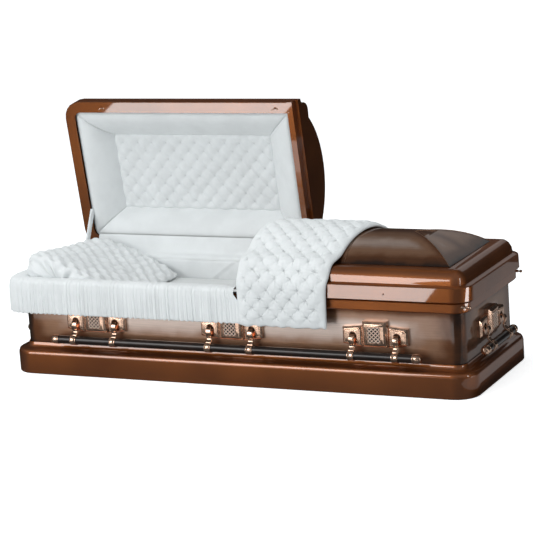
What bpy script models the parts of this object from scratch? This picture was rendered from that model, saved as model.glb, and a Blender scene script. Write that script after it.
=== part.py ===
"""Half-couch sheet-metal casket with a hinged two-part lid, swing bars and a cloth interior.

X runs along the casket to the foot end, -Y is the front, Z is up, all in metres.
The origin is the middle of the underside. The head lid stands open and the foot lid is shut.
"""
import math

import bmesh
import bpy
from mathutils import Vector

# Sheet metal and clearances
SHEET = 0.0015
GAP = 0.0004
LID_CLEARANCE = 0.003
MERGE = 0.00001
CORNER_STEPS = 5

# Base moulding
BASE_HALF_LENGTH = 1.060
BASE_HALF_WIDTH = 0.3507
BASE_CORNER = 0.092
BASE_FACE_HEIGHT = 0.085
BASE_MOULDING_HEIGHT = 0.129
BASE_FOOT_FLANGE = 0.036

# Body
BODY_INSET = 0.050
BODY_TOP = 0.388
RIM_HEIGHT = 0.044
RIM_OVERHANG = 0.029
RIM_FLANGE = 0.045
RIM_LIP = 0.012
GASKET_WIDTH = 0.012

# Lid, measured up from its bottom plane and in from its outer face
LID_OVERHANG = 0.0445
LID_BAND_HEIGHT = 0.060
LID_FLANGE = 0.0495
LEDGE_WIDTH = 0.025
OVOLO_INSET = 0.070
OVOLO_TOP = 0.122
VALLEY_INSET = 0.109
VALLEY_DROP = 0.003
CROWN_RISE = 0.08735
CROWN_STEPS = 8

# Lid joint: the head lid laps over a lip of the foot lid
HEAD_CUT_LOW = 0.075
HEAD_CUT_HIGH = 0.090
LAP_HEIGHT = 0.033
CUT_FLANGE = 0.026
WELD_STEP = 0.0003

# Hinges
HINGE_OFFSET = 0.0155
HINGE_RADIUS = 0.005
HEAD_LID_OPEN = 81.2
HINGE_LEAF_RISE = 0.030
HINGE_LEAF_DROP = 0.032
HINGE_END_MARGIN = 0.010
KNUCKLE_LENGTH = 0.06
KNUCKLE_SHARES = (-0.975, -0.519, -0.083, 0.166, 0.571, 0.913)

# Handles, measured from the pivot
PIVOT_HEIGHT = 0.239
PIVOT_STANDOFF = 0.028
BAR_RADIUS = 0.018
BAR_DROP = 0.080
BAR_REACH = 0.016
ARM_WIDTH = 0.024
ARM_THICKNESS = 0.007
BARREL_RADIUS = 0.007
BAND_THICKNESS = 0.0036
BAND_WIDTH = 0.028
TIP_LENGTH = 0.038
TIP_OVERSIZE = 0.0015
BAR_END_MARGIN = 0.160
BAR_SIDE_MARGIN = 0.1137
BAR_OVERHANG = 0.1115
ARM_SPACING = 0.191
ROUND_SIDES = 10

# Lug castings, measured from the pivot
LUG_WIDTH = 0.282
LUG_CHAMFER = 0.010
LUG_PLATE_WIDTH = 0.102
LUG_PLATE_TOP = 0.058
LUG_PLATE_BOTTOM = 0.047
LUG_PLATE_DEPTH = 0.030
LUG_WING_INSET = 0.056
LUG_WING_DEPTH = 0.022
LUG_WING_INNER_TOP = 0.039
LUG_WING_OUTER_TOP = 0.031
LUG_WING_INNER_BOTTOM = 0.050
LUG_WING_OUTER_BOTTOM = 0.038
LUG_WEB_DEPTH = 0.011
SOCKET_RADIUS = 0.0145
SOCKET_DEPTH = 0.012
PANEL_WIDTH = 0.062
PANEL_HEIGHT = 0.074
PANEL_DEPTH = 0.003

# Corner caps on the rail
CAP_PROUD = 0.016
CAP_LENGTH = 0.045
CAP_INSET = 0.0197
CAP_DROP = 0.018
CAP_BALL_RADIUS = 0.0062

# Cloth interior
LINING_THICKNESS = 0.026
BED_TOP = 0.300
BED_THICKNESS = 0.100
BED_LEDGE = 0.050
LEDGE_DEPTH = 0.020
SKIRT_THICKNESS = 0.040
SKIRT_BOTTOM = 0.272
SKIRT_ROLL = 0.032
SKIRT_FRONT_END = 0.043
SKIRT_BACK_END = 0.200
PAD_RECESS = 0.017
PAD_THICKNESS = 0.015
CAP_DEPTH = 0.115
CAP_MARGINS = (0.125, 0.150, 0.138, 0.102)
THROW_THICKNESS = 0.026
THROW_START = 0.045
THROW_END = 0.460
THROW_HEM = 0.274
PILLOW_HEAD_GAP = 0.038
PILLOW_SIDE_GAP = 0.0367
PILLOW_LENGTH = 0.470
PILLOW_HEIGHT = 0.172
PILLOW_OVERLAP = 0.021
PILLOW_FRONT_RISE = 0.55
PILLOW_CURL = 0.60
APRON_THICKNESS = 0.006
FOOT_LINING_DEPTH = 0.095
FOOT_LINING_MARGIN = 0.066

# Lid prop
PROP_LEAN = 62.36
PROP_WIDTH = 0.016
PROP_PIVOT_Y = 0.1764
PROP_LIFT = 0.007

# Values that follow from the sizes above
BODY_HALF_LENGTH = BASE_HALF_LENGTH - BODY_INSET
BODY_HALF_WIDTH = BASE_HALF_WIDTH - BODY_INSET
BODY_CORNER = BASE_CORNER - BODY_INSET + 0.010
RIM_HALF_LENGTH = BODY_HALF_LENGTH + RIM_OVERHANG
RIM_HALF_WIDTH = BODY_HALF_WIDTH + RIM_OVERHANG
RIM_CORNER = BODY_CORNER + RIM_OVERHANG * 0.5
LID_HALF_LENGTH = BODY_HALF_LENGTH + LID_OVERHANG
LID_HALF_WIDTH = BODY_HALF_WIDTH + LID_OVERHANG
LID_CORNER = RIM_CORNER + 0.014
LID_BOTTOM = BODY_TOP + LID_CLEARANCE
HINGE_Y = LID_HALF_WIDTH + HINGE_OFFSET
HINGE_Z = LID_BOTTOM - 0.002
FOOT_CUT_LOW = HEAD_CUT_LOW + LID_CLEARANCE
FOOT_CUT_HIGH = HEAD_CUT_HIGH + LID_CLEARANCE
FOOT_LAP_HEIGHT = LAP_HEIGHT - SHEET - LID_CLEARANCE * 0.5
CROWN_HALF_WIDTH = LID_HALF_WIDTH - VALLEY_INSET
CROWN_HALF_LENGTH = LID_HALF_LENGTH - VALLEY_INSET
CROWN_RADIUS = (CROWN_HALF_WIDTH ** 2 + CROWN_RISE ** 2) / (2.0 * CROWN_RISE)
VALLEY_HEIGHT = LID_BOTTOM + OVOLO_TOP - VALLEY_DROP
CROWN_EDGE = VALLEY_HEIGHT + GAP + SHEET
BED_BOTTOM = BED_TOP - BED_THICKNESS
HINGE_LEAF_END = LID_HALF_LENGTH - LID_CORNER - HINGE_END_MARGIN
LONG_BAR = 2.0 * (BODY_HALF_LENGTH - BAR_END_MARGIN)
SHORT_BAR = 2.0 * (BODY_HALF_WIDTH - BAR_SIDE_MARGIN)
LUG_SPACING = (LONG_BAR - ARM_SPACING) * 0.5 - BAR_OVERHANG
CAP_END = RIM_HALF_LENGTH + CAP_PROUD
CAP_SPREAD = RIM_HALF_WIDTH - CAP_INSET
CAP_HEIGHT = BODY_TOP - CAP_DROP
PILLOW_HEAD_END = PILLOW_HEAD_GAP - BODY_HALF_LENGTH
PILLOW_HALF_WIDTH = BODY_HALF_WIDTH - PILLOW_SIDE_GAP

BASE_OUTLINE = (BASE_HALF_LENGTH, BASE_HALF_WIDTH, BASE_CORNER)
BODY_OUTLINE = (BODY_HALF_LENGTH, BODY_HALF_WIDTH, BODY_CORNER)
RIM_OUTLINE = (RIM_HALF_LENGTH, RIM_HALF_WIDTH, RIM_CORNER)
LID_OUTLINE = (LID_HALF_LENGTH, LID_HALF_WIDTH, LID_CORNER)


def clear_scene():
    """Remove whatever the file holds, and make the two collections."""
    for item in list(bpy.data.objects):
        bpy.data.objects.remove(item, do_unlink=True)
    for name in ("casket", "cutters"):
        bpy.context.scene.collection.children.link(bpy.data.collections.new(name))


def finish(name, colour, roughness, metallic):
    """A plain surface colour for one sub-part."""
    material = bpy.data.materials.new(name)
    material.use_nodes = True
    surface = material.node_tree.nodes["Principled BSDF"]
    surface.inputs["Base Color"].default_value = (*colour, 1.0)
    surface.inputs["Roughness"].default_value = roughness
    surface.inputs["Metallic"].default_value = metallic
    return material


def add_object(name, mesh, material=None, parent=None, collection="casket"):
    """Link a mesh as a named object; a parent empty keeps the mesh where it was drawn."""
    item = bpy.data.objects.new(name, mesh)
    bpy.data.collections[collection].objects.link(item)
    if material is not None:
        item.data.materials.clear()
        item.data.materials.append(material)
    if parent is not None:
        item.parent = parent
    return item


def mesh_from(bm, name):
    """Close a bmesh into a mesh datablock."""
    mesh = bpy.data.meshes.new(name)
    bm.to_mesh(mesh)
    bm.free()
    return mesh


def smooth(item, angle=32.0):
    """Round shading, with the real creases kept sharp."""
    item.data.shade_smooth()
    item.data.set_sharp_from_angle(angle=math.radians(angle))


def hide_cutter(item):
    """Mark a helper solid so that it is not taken for a piece."""
    item.hide_render = True
    item.display_type = "WIRE"


def add_empty(name, location, rotation=(0.0, 0.0, 0.0)):
    """An empty that carries the pieces of one moving group."""
    item = bpy.data.objects.new(name, None)
    bpy.data.collections["casket"].objects.link(item)
    item.location = location
    item.rotation_euler = rotation
    return item


def evaluated_mesh(item, name):
    """The mesh of an object with its modifiers worked out."""
    bpy.context.view_layer.update()
    graph = bpy.context.evaluated_depsgraph_get()
    return bpy.data.meshes.new_from_object(item.evaluated_get(graph))


def boolean(item, cutter, operation):
    """Cut or join one solid with another."""
    modifier = item.modifiers.new(operation.lower(), "BOOLEAN")
    modifier.operation = operation
    modifier.object = cutter
    modifier.solver = "EXACT"


def thicken(item, thickness=SHEET):
    """Give an open sheet its metal thickness, inwards."""
    modifier = item.modifiers.new("sheet", "SOLIDIFY")
    modifier.thickness = thickness
    modifier.offset = -1.0
    modifier.use_even_offset = True


def rounded_rectangle(x_range, y_range, radius):
    """Points of a rounded rectangle, anticlockwise as seen from above."""
    radius = max(radius, 0.0)
    corners = (
        (x_range[1], y_range[1], -1, -1, 0.0),
        (x_range[0], y_range[1], 1, -1, 90.0),
        (x_range[0], y_range[0], 1, 1, 180.0),
        (x_range[1], y_range[0], -1, 1, 270.0),
    )
    points = []
    for x, y, inward_x, inward_y, start in corners:
        for step in range(CORNER_STEPS + 1):
            angle = math.radians(start + 90.0 * step / CORNER_STEPS)
            across = x + inward_x * radius + radius * math.cos(angle)
            along = y + inward_y * radius + radius * math.sin(angle)
            points.append((across, along))
    return points


def add_loop(bm, points, height):
    """One closed loop of points at a height."""
    return [bm.verts.new((x, y, height)) for x, y in points]


def skin(bm, first, second):
    """Quads between two loops that hold as many points."""
    for i in range(len(first)):
        bm.faces.new((first[i - 1], first[i], second[i], second[i - 1]))


def face_outwards(bm):
    """Make the faces agree, pointing away from the middle."""
    bmesh.ops.recalc_face_normals(bm, faces=bm.faces)
    middle = Vector((0.0, 0.0, 0.0))
    for vert in bm.verts:
        middle += vert.co / len(bm.verts)
    lean = sum(f.normal.dot(f.calc_center_median() - middle) * f.calc_area() for f in bm.faces)
    if lean < 0.0:
        bmesh.ops.reverse_faces(bm, faces=bm.faces)


def loft(rows, closed=False, capped=False):
    """Skin rounded rectangles given as (x range, y range, corner radius, height)."""
    bm = bmesh.new()
    loops = [add_loop(bm, rounded_rectangle(row[0], row[1], row[2]), row[3]) for row in rows]
    pairs = list(zip(loops, loops[1:]))
    if closed:
        pairs.append((loops[-1], loops[0]))
    for first, second in pairs:
        skin(bm, first, second)
    if capped:
        bm.faces.new(loops[0])
        bm.faces.new(loops[-1])
    bmesh.ops.remove_doubles(bm, verts=bm.verts, dist=MERGE)
    bmesh.ops.dissolve_degenerate(bm, edges=bm.edges, dist=MERGE)
    face_outwards(bm)
    return bm


def inset_rows(outline, profile):
    """Rows of a moulding that runs round an outline, from (inset, height) points."""
    half_length, half_width, corner = outline
    rows = []
    for inset, height in profile:
        x_range = (inset - half_length, half_length - inset)
        y_range = (inset - half_width, half_width - inset)
        rows.append((x_range, y_range, corner - inset, height))
    return rows


def arc_points(centre, radii, start, end, steps):
    """Points on an elliptical arc in a profile, angles in degrees."""
    points = []
    for step in range(steps + 1):
        angle = math.radians(start + (end - start) * step / steps)
        points.append((centre[0] + radii[0] * math.cos(angle), centre[1] + radii[1] * math.sin(angle)))
    return points


def cut_away(bm, point, normal, fill=False):
    """Remove what lies on the normal's side of a plane, and close the cut if asked."""
    geometry = bm.verts[:] + bm.edges[:] + bm.faces[:]
    result = bmesh.ops.bisect_plane(
        bm, geom=geometry, dist=MERGE, plane_co=point, plane_no=normal, clear_outer=True)
    if fill:
        edges = [e for e in result["geom_cut"] if isinstance(e, bmesh.types.BMEdge)]
        bmesh.ops.holes_fill(bm, edges=edges, sides=0)
        bmesh.ops.recalc_face_normals(bm, faces=bm.faces)


def extruded_outline(points, depth, place):
    """A flat outline pulled along X. The points are (y, z) and place is the lower X."""
    bm = bmesh.new()
    face = bm.faces.new([bm.verts.new((place, y, z)) for y, z in points])
    pulled = bmesh.ops.extrude_face_region(bm, geom=[face])
    moved = [v for v in pulled["geom"] if isinstance(v, bmesh.types.BMVert)]
    bmesh.ops.translate(bm, verts=moved, vec=(depth, 0.0, 0.0))
    bmesh.ops.recalc_face_normals(bm, faces=bm.faces)
    return bm


def block(name, low, high, collection="cutters"):
    """A plain box between two corners."""
    bm = bmesh.new()
    bmesh.ops.create_cube(bm, size=1.0)
    size = [high[i] - low[i] for i in range(3)]
    middle = [(high[i] + low[i]) * 0.5 for i in range(3)]
    bmesh.ops.scale(bm, vec=size, verts=bm.verts)
    bmesh.ops.translate(bm, vec=middle, verts=bm.verts)
    return add_object(name, mesh_from(bm, name), collection=collection)


def make_finishes():
    """The casket's few finishes, named for what they are."""
    return {
        "gloss": finish("gloss copper brown", (0.13, 0.045, 0.018), 0.22, 0.75),
        "brushed": finish("brushed copper brown", (0.27, 0.17, 0.12), 0.35, 0.85),
        "hardware": finish("rose copper plate", (0.55, 0.32, 0.22), 0.20, 1.0),
        "bar": finish("dark bar enamel", (0.035, 0.018, 0.012), 0.28, 0.4),
        "cloth": finish("white crepe", (0.78, 0.80, 0.80), 0.85, 0.0),
        "gasket": finish("black rubber", (0.01, 0.01, 0.01), 0.7, 0.0),
        "steel": finish("primed steel", (0.20, 0.19, 0.18), 0.5, 0.6),
    }


def make_base(finishes):
    """Base moulding: foot flange, upright face, then an ogee up to the body."""
    edge = BASE_MOULDING_HEIGHT - BASE_FACE_HEIGHT
    shoulder = BASE_FACE_HEIGHT + edge * 0.45
    profile = [(BASE_FOOT_FLANGE, 0.0), (0.003, 0.0), (0.0, 0.003)]
    profile += arc_points((0.014, BASE_FACE_HEIGHT), (0.014, shoulder - BASE_FACE_HEIGHT), 180, 100, 3)
    cove = BODY_INSET - GAP - SHEET - 0.020
    profile += arc_points((0.020, BASE_MOULDING_HEIGHT), (cove, BASE_MOULDING_HEIGHT - shoulder), 280, 360, 4)
    bm = loft(inset_rows(BASE_OUTLINE, profile))
    item = add_object("base_moulding", mesh_from(bm, "base"), finishes["gloss"])
    thicken(item)
    smooth(item)


def make_bottom_pan(finishes):
    """Flat floor sheet, level with the foot flange."""
    inset = BASE_FOOT_FLANGE + GAP
    rows = inset_rows(BASE_OUTLINE, [(inset, 0.0), (inset, SHEET)])
    item = add_object("bottom_pan", mesh_from(loft(rows, capped=True), "pan"), finishes["steel"])
    smooth(item)


def make_body_shell(finishes):
    """The four walls, drawn as one sheet with rounded corners."""
    profile = [(0.0, SHEET + GAP), (0.0, BODY_TOP - SHEET - GAP)]
    bm = loft(inset_rows(BODY_OUTLINE, profile))
    item = add_object("body_shell", mesh_from(bm, "shell"), finishes["brushed"])
    thicken(item)
    smooth(item)


def make_body_rim(finishes):
    """Rolled rail over the top of the walls, open underneath."""
    turn = RIM_OVERHANG - GAP
    profile = [
        (turn, BODY_TOP - RIM_HEIGHT + 0.003),
        (0.005, BODY_TOP - RIM_HEIGHT),
        (0.0, BODY_TOP - RIM_HEIGHT + 0.005),
        (0.0, BODY_TOP - 0.006),
        (0.006, BODY_TOP),
        (RIM_FLANGE, BODY_TOP),
        (RIM_FLANGE + 0.001, BODY_TOP - RIM_LIP),
    ]
    bm = loft(inset_rows(RIM_OUTLINE, profile))
    item = add_object("body_rim", mesh_from(bm, "rim"), finishes["gloss"])
    thicken(item)
    smooth(item)


def make_gasket(finishes):
    """Flat rubber seal on the rim."""
    low = BODY_TOP + GAP
    high = LID_BOTTOM - GAP
    start = 0.010
    profile = [(start, low), (start, high), (start + GASKET_WIDTH, high), (start + GASKET_WIDTH, low)]
    bm = loft(inset_rows(RIM_OUTLINE, profile), closed=True)
    item = add_object("rim_gasket", mesh_from(bm, "gasket"), finishes["gasket"])
    smooth(item)


def make_side_lining(finishes):
    """Padded cloth round the walls; its lower edge turns in as the ledge under the bed."""
    wall = SHEET + GAP
    lip = RIM_FLANGE - RIM_OVERHANG + 0.001 + SHEET + GAP
    neck = BODY_TOP - RIM_LIP - GAP * 3
    top = BODY_TOP - 0.010
    inner = wall + LINING_THICKNESS
    ledge = BED_BOTTOM - GAP
    profile = [
        (wall, ledge - LEDGE_DEPTH), (wall, neck), (lip, neck), (lip, top), (inner, top),
        (inner, ledge), (inner + BED_LEDGE, ledge), (inner + BED_LEDGE, ledge - LEDGE_DEPTH),
    ]
    bm = loft(inset_rows(BODY_OUTLINE, profile), closed=True)
    item = add_object("side_lining", mesh_from(bm, "lining"), finishes["cloth"])
    smooth(item)


def make_bed(finishes):
    """The mattress, slightly domed, lying on the ledge."""
    edge = SHEET + GAP + LINING_THICKNESS + 0.002
    profile = [
        (edge + 0.006, BED_BOTTOM), (edge, BED_BOTTOM + 0.012), (edge, BED_TOP - 0.025),
        (edge + 0.012, BED_TOP - 0.009), (edge + 0.090, BED_TOP),
    ]
    bm = loft(inset_rows(BODY_OUTLINE, profile), capped=True)
    item = add_object("bed_mattress", mesh_from(bm, "bed"), finishes["cloth"])
    smooth(item)


def pillow_lean(point):
    """Raise the pillow toward the front and lower it toward the back, more so near its top."""
    rise = point.z - BED_TOP
    lift = point.y * (PILLOW_CURL * point.y - PILLOW_FRONT_RISE)
    return Vector((point.x, point.y, point.z + rise * lift))


def make_pillow(finishes):
    """A wedge cushion: high at the head end, thin and rounded toward the body."""
    profile = [
        (0.000, 1.00, -0.014, 0.160), (0.100, 0.98, 0.0, 0.150), (0.335, 0.80, 0.0, 0.110),
        (0.685, 0.49, 0.0, 0.080), (0.890, 0.28, PILLOW_OVERLAP, 0.040), (1.000, 0.14, 0.010, 0.020),
    ]
    rows = []
    for height, reach, spread, corner in profile:
        head = PILLOW_HEAD_END - max(spread, 0.0) * 0.6
        x_range = (head, PILLOW_HEAD_END + PILLOW_LENGTH * reach)
        half = PILLOW_HALF_WIDTH + spread
        rows.append((x_range, (-half, half), corner, BED_TOP + GAP + PILLOW_HEIGHT * height))
    bm = loft(rows, capped=True)
    for vert in bm.verts:
        vert.co = pillow_lean(vert.co)
    item = add_object("pillow", mesh_from(bm, "pillow"), finishes["cloth"])
    smooth(item, 60.0)


def make_skirt(finishes):
    """Gathered cloth that rolls over the rim and hangs outside the head half."""
    outside = -SKIRT_THICKNESS
    under = LID_BOTTOM + 0.0015
    top = BODY_TOP + SKIRT_ROLL
    inner = RIM_FLANGE + 0.016
    profile = [
        (-0.003, SKIRT_BOTTOM), (-0.003, under), (inner, under), (inner + 0.004, under + 0.008),
        (inner - 0.010, top - 0.004), (0.020, top), (outside + 0.014, top - 0.008),
        (outside + 0.002, top - 0.028), (outside, SKIRT_BOTTOM + 0.020), (outside + 0.004, SKIRT_BOTTOM),
    ]
    bm = loft(inset_rows(RIM_OUTLINE, profile), closed=True)
    cut_away(bm, (SKIRT_FRONT_END, 0.0, 0.0), (1.0, 0.0, 0.0), fill=True)
    cut_away(bm, (0.0, SKIRT_BACK_END, 0.0), (0.0, 1.0, 0.0), fill=True)
    item = add_object("gathered_skirt", mesh_from(bm, "skirt"), finishes["cloth"])
    smooth(item)


def make_back_apron(finishes):
    """Cloth strip that bridges the hinge line, from the lining up to the open lid."""
    thick = APRON_THICKNESS
    foot_y = RIM_HALF_WIDTH - RIM_FLANGE - 0.014
    foot_z = BODY_TOP - 0.008
    head_y = HINGE_Y - 0.024
    head_z = LID_BOTTOM + LID_FLANGE + 0.012
    bend_z = head_z - 0.022
    points = [
        (foot_y, foot_z), (foot_y + thick, foot_z), (foot_y + thick + 0.002, LID_BOTTOM + 0.006),
        (head_y + thick * 0.5, bend_z), (head_y + thick * 0.5, head_z), (head_y - thick * 0.5, head_z),
        (head_y - thick, bend_z), (foot_y + 0.002, LID_BOTTOM + 0.010),
    ]
    start = 0.060 - RIM_HALF_LENGTH
    bm = extruded_outline(points, HEAD_CUT_LOW - CUT_FLANGE - 0.010 - start, start)
    item = add_object("back_apron", mesh_from(bm, "apron"), finishes["cloth"])
    smooth(item)


def lid_profile():
    """The rim of a lid from its flange, up the band, over the ovolo to the valley."""
    base = LID_BOTTOM
    ledge = base + LID_BAND_HEIGHT + 0.001
    profile = [(LID_FLANGE, base), (0.003, base), (0.0, base + 0.003)]
    profile += [(0.002, ledge - 0.003), (0.006, ledge)]
    profile += [(0.010, ledge), (LEDGE_WIDTH - 0.001, ledge + 0.005)]
    spread = OVOLO_INSET - LEDGE_WIDTH
    rise = OVOLO_TOP - LID_BAND_HEIGHT - 0.010
    profile += arc_points((OVOLO_INSET, base + OVOLO_TOP - rise), (spread, rise), 180, 90, 4)
    profile += [(VALLEY_INSET - 0.012, VALLEY_HEIGHT), (VALLEY_INSET + 0.008, VALLEY_HEIGHT)]
    return profile


def crown_height(inset):
    """Height of the crown above the valley, at a distance in from its edge."""
    reach = CROWN_HALF_WIDTH - inset
    return CROWN_EDGE + math.sqrt(CROWN_RADIUS ** 2 - reach ** 2) - (CROWN_RADIUS - CROWN_RISE)


def header_outline():
    """Half of a lid's end section, from the bottom at the outer face to the crown's middle."""
    drop = SHEET * 0.5
    under = SHEET + GAP
    points = [(LID_HALF_WIDTH - inset - drop, height) for inset, height in lid_profile()[3:-2]]
    points = [(y, z - drop) for y, z in points]
    points += [(CROWN_HALF_WIDTH - 0.002, VALLEY_HEIGHT - drop)]
    for step in range(1, CROWN_STEPS + 1):
        inset = CROWN_HALF_WIDTH * step / CROWN_STEPS
        points.append((CROWN_HALF_WIDTH - inset, crown_height(inset) - under * 1.3))
    return points


def make_header(name, low_cut, high_cut, lap, inward, parent):
    """End wall of a lid: flange, step and upright plate, to be joined to the rim."""
    half = header_outline()
    width = LID_HALF_WIDTH - SHEET * 0.5
    side = [(width, LID_BOTTOM + lap + SHEET * 2)] + half
    outline = side + [(-y, z) for y, z in reversed(side[:-1])]
    low_cut += inward * WELD_STEP
    high_cut += inward * WELD_STEP
    place = min(high_cut, high_cut + inward * SHEET)
    sheet = mesh_from(extruded_outline(outline, SHEET, place), name)
    plate = add_object(name + "_plate", sheet, collection="cutters")
    base = LID_BOTTOM + WELD_STEP
    step = base + lap if inward < 0.0 else base + lap - 2 * WELD_STEP
    edge = [
        (low_cut + inward * CUT_FLANGE, base), (low_cut, base), (low_cut, step),
        (high_cut, step), (high_cut, step + 4 * SHEET),
    ]
    bm = bmesh.new()
    verts = [bm.verts.new((x, -width, z)) for x, z in edge]
    edges = [bm.edges.new((a, b)) for a, b in zip(verts, verts[1:])]
    pulled = bmesh.ops.extrude_edge_only(bm, edges=edges)
    moved = [v for v in pulled["geom"] if isinstance(v, bmesh.types.BMVert)]
    bmesh.ops.translate(bm, verts=moved, vec=(0.0, width * 2.0, 0.0))
    bmesh.ops.recalc_face_normals(bm, faces=bm.faces)
    bm.faces.ensure_lookup_table()
    web = min(bm.faces, key=lambda f: abs(f.calc_center_median().z - base - lap * 0.5))
    if web.normal.x * inward > 0.0:
        bmesh.ops.reverse_faces(bm, faces=bm.faces)
    rail = add_object(name + "_rail", mesh_from(bm, name), collection="cutters")
    thicken(rail)
    for item in (plate, rail):
        item.parent = parent
        item.location = (0.0, -HINGE_Y, -HINGE_Z)
        hide_cutter(item)
    return plate, rail


def make_lid_rim(name, low_cut, high_cut, lap, inward, parent, finishes):
    """The pressed frame of one lid with its end wall."""
    bm = loft(inset_rows(LID_OUTLINE, lid_profile()))
    reach = low_cut if inward > 0.0 else high_cut
    cut_away(bm, (reach, 0.0, 0.0), (-inward, 0.0, 0.0))
    item = add_object(name, mesh_from(bm, name), finishes["gloss"], parent)
    item.location = (0.0, -HINGE_Y, -HINGE_Z)
    thicken(item)
    wide = LID_HALF_WIDTH + 0.02
    if inward < 0.0:
        low, high = (low_cut, -wide, LID_BOTTOM - 0.01), (high_cut + 0.02, wide, LID_BOTTOM + lap)
    else:
        low, high = (low_cut - 0.02, -wide, LID_BOTTOM + lap), (high_cut, wide, LID_BOTTOM + 0.30)
    notch = block(name + "_notch", low, high)
    notch.parent = parent
    notch.location = (0.0, -HINGE_Y, -HINGE_Z)
    hide_cutter(notch)
    boolean(item, notch, "DIFFERENCE")
    plate, rail = make_header(name + "_header", low_cut, high_cut, lap, inward, parent)
    boolean(item, rail, "UNION")
    boolean(item, plate, "UNION")
    return item


def make_crown(name, cut, inward, parent, finishes):
    """The hipped vault that sits in the rim's valley."""
    bm = bmesh.new()
    loops = []
    for step in range(CROWN_STEPS + 1):
        inset = CROWN_HALF_WIDTH * step / CROWN_STEPS
        x = CROWN_HALF_LENGTH - inset
        y = CROWN_HALF_WIDTH - inset
        loops.append(add_loop(bm, [(x, y), (-x, y), (-x, -y), (x, -y)], crown_height(inset)))
    for first, second in zip(loops, loops[1:]):
        skin(bm, first, second)
    bmesh.ops.remove_doubles(bm, verts=bm.verts, dist=MERGE)
    bmesh.ops.dissolve_degenerate(bm, edges=bm.edges, dist=MERGE)
    face_outwards(bm)
    cut_away(bm, (cut, 0.0, 0.0), (-inward, 0.0, 0.0))
    item = add_object(name, mesh_from(bm, name), finishes["brushed"], parent)
    item.location = (0.0, -HINGE_Y, -HINGE_Z)
    thicken(item)
    item.data.shade_smooth()
    item.data.set_sharp_from_angle(angle=math.radians(15.0))
    return item


def opening_range(low_cut, inward):
    """X and Y range of a lid's inner opening, inside its flanges."""
    end = LID_HALF_LENGTH - LID_FLANGE
    cut_edge = low_cut + inward * CUT_FLANGE
    x_range = (-end, cut_edge) if inward < 0.0 else (cut_edge, end)
    half = LID_HALF_WIDTH - LID_FLANGE
    return x_range, (-half, half)


def make_head_padding(parent, finishes):
    """Four padded borders sewn as one ring, and the quilted panel inside it."""
    x_range, y_range = opening_range(HEAD_CUT_LOW, -1.0)
    left, right, front, back = CAP_MARGINS
    outer = (x_range[0] + 0.0005, x_range[1] - 0.0005, y_range[0] + 0.0005, y_range[1] - 0.0005)
    inner = (x_range[0] + left, x_range[1] - right, y_range[0] + front, y_range[1] - back)
    shares = [
        (0.0, 0.0, PAD_THICKNESS), (0.0, 0.0, 0.0), (0.10, 0.0, -0.004), (0.35, 0.22, -0.012),
        (0.65, 0.58, -0.012), (0.90, 0.93, -0.006), (1.0, 1.0, 0.002), (1.0, 1.0, PAD_THICKNESS),
    ]
    depth = CAP_DEPTH - PAD_RECESS
    rows = []
    for across, sink, proud in shares:
        edges = [a + (b - a) * across for a, b in zip(outer, inner)]
        height = LID_BOTTOM + PAD_RECESS + 0.004 + depth * sink + proud
        rows.append(((edges[0], edges[1]), (edges[2], edges[3]), 0.010 - 0.009 * across, height))
    bm = loft(rows, closed=True)
    ring = add_object("head_lid_border_padding", mesh_from(bm, "border"), finishes["cloth"], parent)
    low = LID_BOTTOM + CAP_DEPTH
    rows = []
    for inset, rise in ((0.006, 0.016), (0.001, 0.012), (0.001, 0.004), (0.030, -0.004), (0.110, -0.006)):
        x_part = (inner[0] + inset, inner[1] - inset)
        y_part = (inner[2] + inset, inner[3] - inset)
        rows.append((x_part, y_part, 0.0, low + rise))
    panel_mesh = mesh_from(loft(rows, capped=True), "panel")
    panel = add_object("head_lid_quilted_panel", panel_mesh, finishes["cloth"], parent)
    for item in (ring, panel):
        item.location = (0.0, -HINGE_Y, -HINGE_Z)
        smooth(item, 50.0)


def make_foot_lining(parent, finishes):
    """Plain stretched lining inside the foot lid."""
    x_range, y_range = opening_range(FOOT_CUT_LOW, 1.0)
    low = LID_BOTTOM + FOOT_LINING_DEPTH
    rows = []
    for extra, rise in ((0.004, 0.012), (0.0, 0.008), (0.0, 0.0), (0.014, -0.004)):
        inset = FOOT_LINING_MARGIN + extra
        x_part = (x_range[0] + inset, x_range[1] - inset)
        y_part = (y_range[0] + inset, y_range[1] - inset)
        rows.append((x_part, y_part, 0.02, low + rise))
    bm = loft(rows, capped=True)
    item = add_object("foot_lid_lining", mesh_from(bm, "foot lining"), finishes["cloth"], parent)
    item.location = (0.0, -HINGE_Y, -HINGE_Z)
    smooth(item)


def throw_section(offset):
    """Outside of the foot lid from front to back, moved out by an offset: (y, z) points."""
    points = []
    for inset, height in lid_profile()[3:-1]:
        points.append((LID_HALF_WIDTH - inset, height))
    tidy = [points[0]] + points[4:]
    front = [(-(y + offset * 0.95), z + offset * 0.35) for y, z in tidy[:3]]
    front += [(-(y + offset * 0.55), z + offset * 0.85) for y, z in tidy[3:5]]
    crown = []
    for step in range(2, 2 * CROWN_STEPS - 1, 2):
        inset = CROWN_HALF_WIDTH * step / CROWN_STEPS
        reach = CROWN_HALF_WIDTH - inset
        rise = crown_height(CROWN_HALF_WIDTH - abs(reach))
        crown.append((-reach * (1.0 + offset / CROWN_RADIUS), rise + offset))
    return front + crown


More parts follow.
